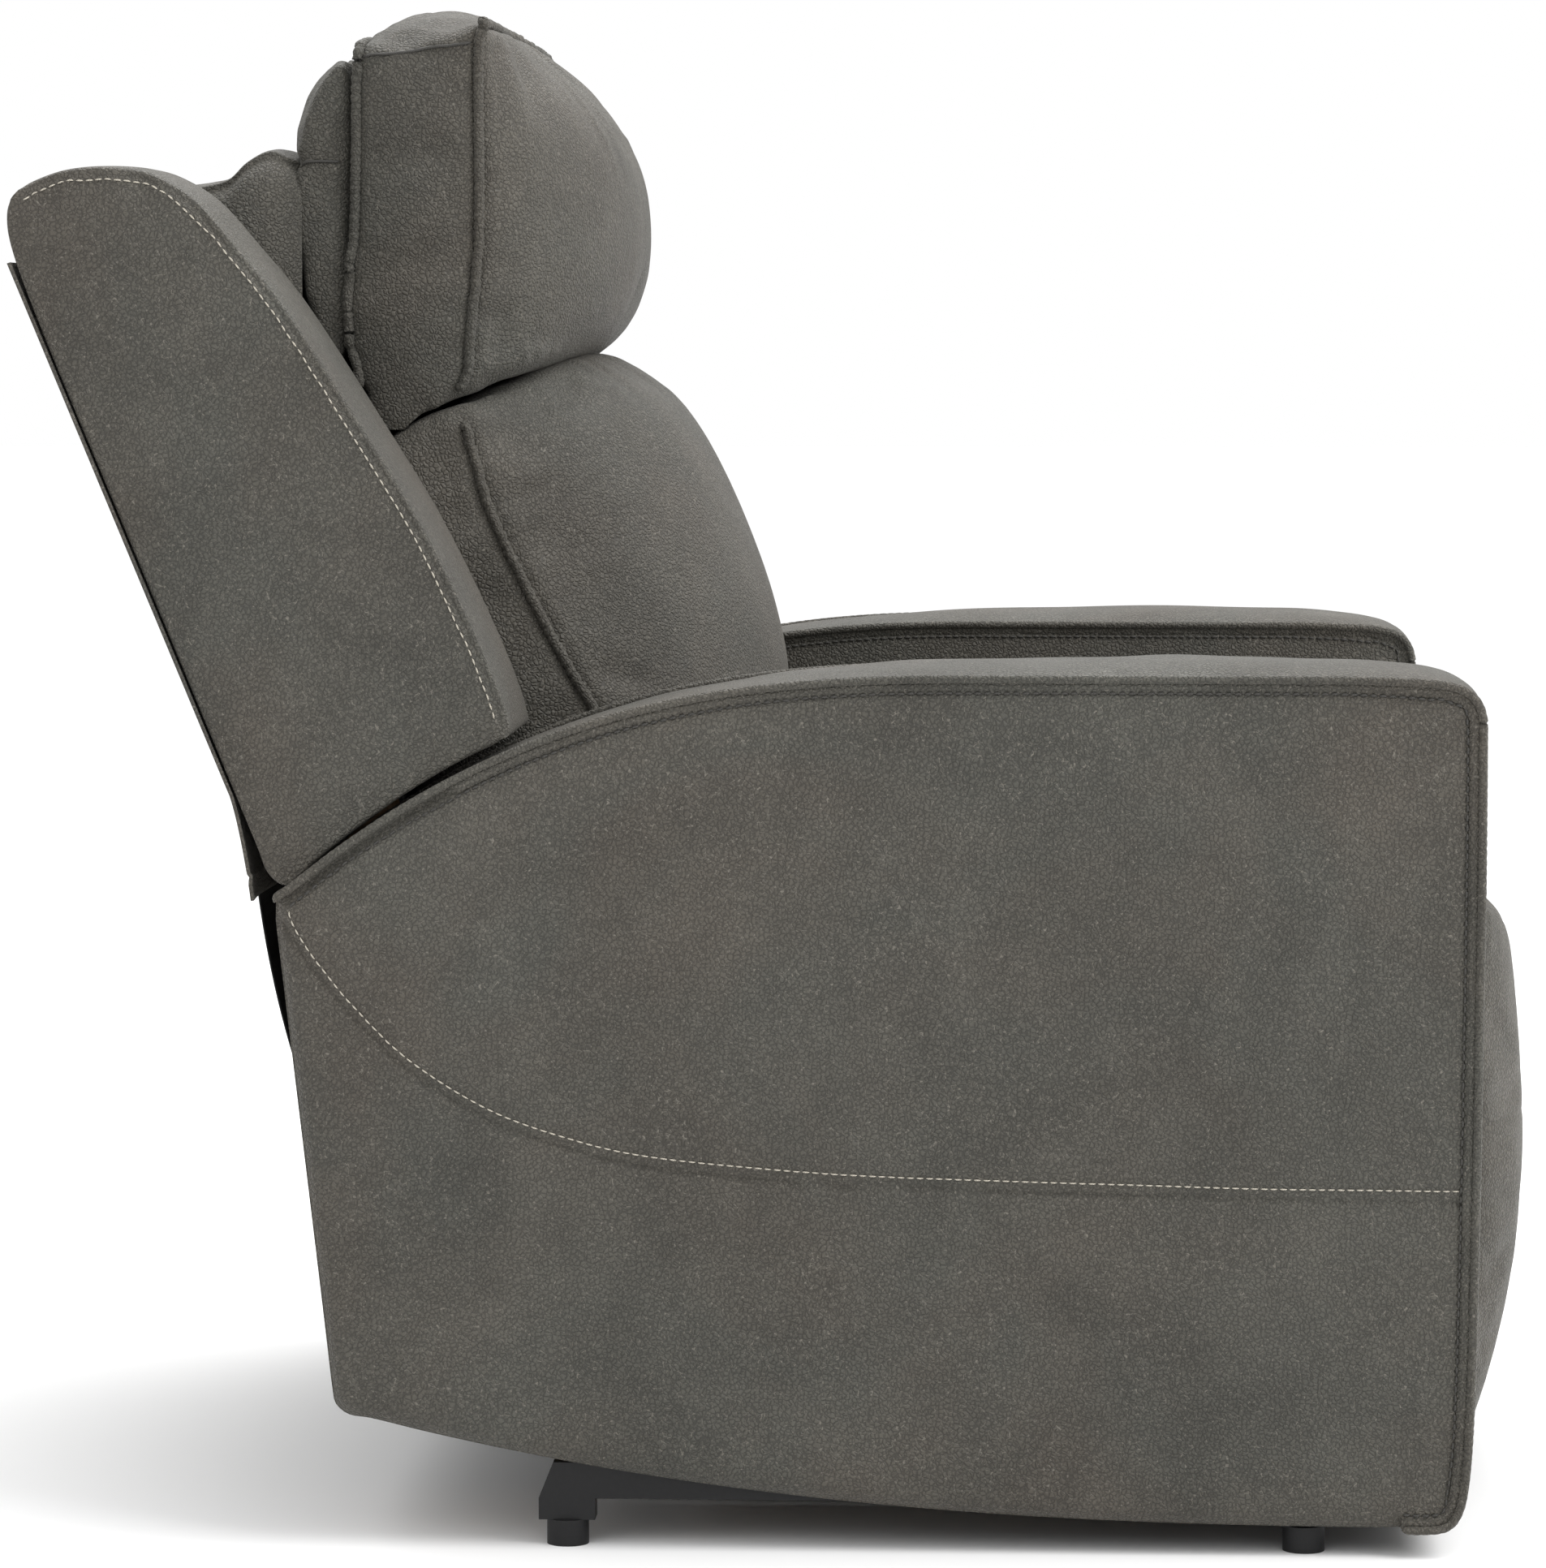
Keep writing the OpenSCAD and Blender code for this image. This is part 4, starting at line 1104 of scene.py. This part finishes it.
# %% Back cushion
back_edge = [
    (712, 781), (703, 773), (694, 742), (686, 714), (671, 680), (648, 634), (627, 596), (609, 566),
    (598, 540), (593, 520), (592, 509), (589, 500), (585, 470), (588, 437), (640, 435), (704, 437),
    (760, 560), (818, 694), (764, 758),
]
back_middle = [
    (674, 803), (636, 822), (603, 808), (568, 774), (538, 722), (511, 655), (497, 602), (492, 565),
    (496, 530), (510, 513), (545, 508), (582, 500), (584, 470), (588, 437), (640, 435), (704, 437),
    (760, 560), (818, 694), (752, 740),
]
back_power = np.full(len(back_edge), 2.5)
lumbar = crowned("back_cushion_cover", CUSHION_HALF, back_edge, back_middle, back_power)
lumbar_sides = [seam_along(CUSHION_HALF, back_edge, 0.9, 10)]
lumbar_sides.append(lumbar_sides[0] * [-1, 1, 1])
lumbar_top = [seam_across(CUSHION_HALF, back_edge, back_middle, 2.5, 1)]


def tail_still(co):
    """The tail behind the seat and the rear face are held by the frame."""
    s = (co[:, 1] - BACK_FOOT[0]) * SIN + (co[:, 2] - BACK_FOOT[1]) * COS
    t = -(co[:, 1] - BACK_FOOT[0]) * COS + (co[:, 2] - BACK_FOOT[1]) * SIN
    return np.clip((100 - t) / 10, 0, 1) + (co[:, 2] < 515) + (s > 400)


stuffed(lumbar, lumbar_sides + lumbar_top, 8, 5.0, 12, still=tail_still)
pulled_in(lumbar, lumbar_sides, 4.0, 7)
puckered(lumbar, lumbar_sides, 2.2, 36, 75, 8)
puckered(lumbar, lumbar_top, 1.6, 46, 40, 9)
dress(lumbar, "back", replaced=["back_cushion"])
lay_welts(lumbar, lumbar_sides, ("right_back_welt", "left_back_welt"), "back", 3.9, 2.6, 400)

# %% [markdown]
# ## Headrest
#
# The headrest is a boxed pillow: a crowned front, a flat gusset round its sides and top, and a
# softer pad behind. Both seams of the gusset are raised welts, the front one is pinched into a
# small peak at each top corner, and a plain seam crosses each side of the gusset and of the pad.

# %% Headrest pillow
head_edge = [
    (712, 1044), (689, 1058), (691, 1036), (692, 1010), (692, 975), (692, 935), (693, 895),
    (695, 868), (698, 842), (700, 812), (707, 792), (730, 777), (764, 766), (789, 835), (786, 900),
    (784, 960), (783, 1016), (780, 1038), (748, 1038),
]
head_middle = [
    (714, 1069), (689, 1056), (655, 1034), (628, 1006), (609, 970), (600, 930), (599, 891),
    (604, 864), (614, 843), (636, 828), (674, 812), (735, 806), (776, 808), (787, 835), (787, 900),
    (786, 960), (786, 1022), (781, 1048), (750, 1068),
]
head_power = np.array([3.5, 3.0] + [2.7] * 7 + [5, 7, 8, 8, 4, 4, 4, 4, 4, 3.5])
pillow = crowned("headrest_cover", HEAD_HALF, head_edge, head_middle, head_power)
front_hoop = hoop(HEAD_HALF, head_edge, head_middle, head_power, 1, 10)
rear_hoop = hoop(HEAD_HALF, head_edge, head_middle, head_power, 17, 12.5)
stuffed(pillow, [front_hoop, rear_hoop], 8, 5.0, 12)
pulled_in(pillow, [front_hoop, rear_hoop], 4.0, 7)
puckered(pillow, [front_hoop], 2.0, 34, 70, 12)
puckered(pillow, [rear_hoop], 1.2, 34, 30, 13)
dress(pillow, "headrest", replaced=["headrest_cushion"])
names = ("headrest_front_welt", "headrest_rear_welt")
lay_welts(pillow, (front_hoop, rear_hoop), names, "headrest", 4.0, 2.8, 900)
top_seam = spline([(781, 1031), (750, 1035), (720, 1038), (694, 1040)], 120)
lay_seams(pillow, "headrest_top_seam", top_seam, 275, "headrest")

# %% Headrest rear pad
rear_edge = [
    (788, 1026), (800, 1018), (812, 1000), (820, 975), (824, 957), (824, 915), (818, 870),
    (806, 828), (792, 813), (788, 850), (788, 940),
]
rear_middle = [
    (788, 1034), (805, 1028), (820, 1006), (829, 976), (831, 957), (830, 915), (824, 870),
    (810, 828), (792, 813), (788, 850), (788, 940),
]
puff = crowned("headrest_rear_cover", PUFF_HALF, rear_edge, rear_middle, 5.0)
puff_seam = [seam_across(PUFF_HALF, rear_edge, rear_middle, 5, 4), seam_along(PUFF_HALF, rear_edge, 0, 8)]
puff_seam.append(puff_seam[1] * [-1, 1, 1])
stuffed(puff, puff_seam, 7, 4.0, 5)
pulled_in(puff, puff_seam[:1], 4.0, 6)
puckered(puff, puff_seam[:1], 1.4, 38, 40, 14)
dress(puff, "headrest", replaced=["headrest_rear_pad"])
cross_seam = spline([(825, 956), (808, 957), (789, 957)], 60)
lay_seams(puff, "headrest_cross_seam", cross_seam, 272, "headrest")

# %% [markdown]
# ## Wings
#
# A wing is a shaped board padded on both faces and sewn like an envelope: its outer panel meets
# the wrap round its front edge in a topstitched seam. The outline is carried from one face to the
# other and drawn in at both, which rounds its edges.

# %% Wing outline
WING_SIDES, WING_MIDDLE = (294, 444), (830, 715)
wing_foot = np.linspace(809, 664, 9)
wing_points = [
    (657, 569), (676, 622), (716, 705), (763, 782), (811, 856), (845, 898), (869, 925), (891, 940),
    (912, 947), (948, 948), (976, 941), (993, 930), (999, 914), (993, 884),
]
wing_points += [tuple(rake(-6.5, s)) for s in (400, 300, 200, 100, 40, 18)]
wing_points += list(zip(wing_foot, arm_top(wing_foot) + crown(wing_foot) + 3.0))
wing_outline = spline(wing_points, 460, closed=True)
tangent = tangents(wing_outline, closed=True)
wing_out = np.stack([-tangent[:, 1], tangent[:, 0]], 1)
facing = (wing_out * (wing_outline - wing_outline.mean(0))).sum()
print("wing outline turns", "outwards" if facing > 0 else "inwards")
front_turn = index_near(wing_outline, (990, 934))
wing_front = wing_outline[:front_turn]
wing_rear = wing_outline[front_turn + 4 : 456]


def wing_outer(p):
    """Outer face: soft in front, crisp behind, crowned a little, with a dip along the topstitch."""
    front, rear = flat_distance(p, wing_front), flat_distance(p, wing_rear)
    edge = np.minimum(front, rear)
    soft = round_edge(front, 7.0) + round_edge(rear, 3.0)
    dip = 1.6 * bell(front - 5.0, 2.0)
    swell = 3.0 * swelling(np.maximum(0, edge - 8), 26)
    top = bell(p[..., 1] - 925, 50) * np.exp(-np.maximum(0, edge - 6) / 18)
    pucker = 1.2 * np.sin((p[..., 0] - 0.35 * p[..., 1]) / 5.2) * top
    return swell - soft - dip + pucker + 0.7 * waves(p, 51, 130) * swelling(edge, 30)


def wing_inner(p):
    """Inner face: the same soft edge, with a fuller swell."""
    front, rear = flat_distance(p, wing_front), flat_distance(p, wing_rear)
    edge = np.minimum(front, rear)
    swell = 2.0 * swelling(edge, 30) - round_edge(front, 12.0) - round_edge(rear, 4.0)
    return swell + 0.6 * waves(p, 52, 110)


def wing_wall(share):
    """The wrap between the faces stands out by a parabola at the front and top, and stays flat behind."""
    place = np.arange(len(wing_outline))
    full = np.clip(place / 20, 0, 1) * np.clip((front_turn - place) / 30, 0, 1)
    bow = 2.0 * (1 - (2 * share[..., 0] - 1) ** 4) * full[None]
    flat = wing_out[None] * bow[..., None]
    return np.concatenate([np.zeros(flat.shape[:2] + (1,)), flat], 2)


front_end = index_near(wing_outline, (996, 929))
topstitch = (wing_outline - wing_out * 5.0)[2:front_end]
for side, hand in HANDS:
    faces = (wing_outer, WING_MIDDLE, wing_inner, wing_wall, 80)
    wing = panel(f"{hand}_wing_cover", wing_outline, side, *WING_SIDES, *faces)
    dress(wing, "back", replaced=[f"{hand}_wing"])
    on, normal = dropped(resample(at_x(side * 460, topstitch), 400), surface_of(wing), 0.1)
    dress(stitches(f"{hand}_wing_stitching", on, normal), "back", light_thread)

# %% [markdown]
# ## Rear rail
#
# Below the dust cloth the arms are tied by a board wrapped in the cover. The wrap is the board's own
# box with rounded edges, a hair larger, so one rounded rectangle carried across the chair is enough.

# %% Wrapped rear rail
def wrapped_rail(node_name, name):
    """A rounded rectangle in the side view, a little larger than the board, carried over its width."""
    thick, radius = 1.6, 5.0
    low, high = (np.array(c) * 1000 - [0, FRONT_Y * 1000, 0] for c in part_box(node_name))
    half_y, half_z = (high - low)[1:] / 2 + thick
    angle = np.linspace(0, 2 * np.pi, 96, endpoint=False)
    cos, sin = np.cos(angle), np.sin(angle)
    y = (low + high)[1] / 2 + np.sign(cos) * (half_y - radius) + radius * cos
    z = (low + high)[2] / 2 + np.sign(sin) * (half_z - radius) + radius * sin
    x = np.linspace(low[0], high[0], 120)[:, None]
    ease = 0.5 * waves(stacked(x, z[None]), 61, 90)
    rings = stacked(x, y[None] + ease * np.sign(cos)[None], z[None])
    return lofted(name, rings)


dress(wrapped_rail("rear_cross_rail", "rear_rail_wrap"), "base", replaced=["rear_cross_rail"])

# %% [markdown]
# ## Outside back, bellows and dust cloth
#
# The rear of the back is one panel stretched over its frame, with a hemmed flap at its foot. A
# loose bellows closes the gap behind the headrest, and a black dust cloth hangs behind the
# mechanism between the seat and the back. All three are sheets.


# %% Outside back
def outside_back():
    """Raked panel with a shallow crown, whose foot swings away from the frame."""
    s = np.linspace(5, BACK_TOP, 180)[:, None]
    a = np.linspace(-1, 1, 260)[None]
    edge = np.minimum((1 - np.abs(a)) * BACK_HALF, BACK_TOP - s)
    flat = stacked(a * BACK_HALF, s)
    hang = 16 * np.clip((78 - s) / 73, 0, 1) ** 1.3
    t = -8.8 - 2.5 * swelling(edge, 18) - hang - 0.9 * waves(flat, 41, 150) * swelling(edge, 30)
    t = t - 1.6 * np.sin(a * 21 + 0.4) * np.clip((80 - s) / 75, 0, 1) + 1.5 * bell(s - 20, 2.0)
    y = BACK_FOOT[0] - t * COS + s * SIN
    z = BACK_FOOT[1] + t * SIN + s * COS
    return sheet_object("outside_back_cover", stacked(a * BACK_HALF, y, z), 2.4)


rear_panel = dress(outside_back(), "back", replaced=["outside_back"])


# %% Bellows behind the headrest
def bellows():
    """A hood: an arch across the chair, carried along a slack profile from the back to the headrest."""
    profile = spline([
        (999, 884), (988, 901), (962, 919), (928, 934), (890, 940), (871, 945), (858, 957), (843, 965),
        (831, 961), (820, 956),
    ], 70)
    arch = spline([
        (-286, -170), (-286, -60), (-284, -22), (-271, -6), (-245, 0), (0, 3), (245, 0), (271, -6),
        (284, -22), (286, -60), (286, -170),
    ], 240)
    along = np.linspace(0, 1, 70)[:, None]
    fold = np.sin(along * np.pi) * 2.5 * np.sin(arch[None, :, 0] / 38 + 0.6)
    low = np.clip(-arch[None, :, 1] / 60, 0, 1)
    x = arch[None, :, 0] * (1 - 0.065 * np.clip((along - 0.72) / 0.28, 0, 1) ** 2)
    x = x + 2.2 * np.sign(x) * low * np.sin(along * 17) * (1 - along) * along * 4
    y = profile[:, :1]
    z = profile[:, 1:] + arch[None, :, 1] * (0.75 + 0.25 * along) + fold * np.clip(along * 6, 0, 1)
    panel_z = BACK_FOOT[1] + (y - BACK_FOOT[0] - 4) / math.tan(RAKE)
    z = np.maximum(z, np.minimum(panel_z, profile[:, 1:]))
    return sheet_object("headrest_bellows", stacked(x, y, z), 2.0)


gusset = dress(bellows(), None)
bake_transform(gusset)


# %% Dust cloth
def dust_cloth():
    """A plain cloth: a side profile carried across the chair, with shallow vertical folds."""
    profile = spline([(854, 458), (849, 428), (842, 392), (833, 352), (823, 314), (812, 282), (803, 258)], 50)
    a = np.linspace(-284, 284, 200)[None]
    k = np.linspace(0, 1, 50)[:, None]
    y = profile[:, :1] + 3.0 * np.sin(a / 46 + 1.1) * np.sin(k * np.pi)
    z = profile[:, 1:]
    return sheet_object("dust_cloth", stacked(a, y, z), 1.2)


cloth = dress(dust_cloth(), None, black_cloth, ["rear_dust_cover"])
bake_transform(cloth)
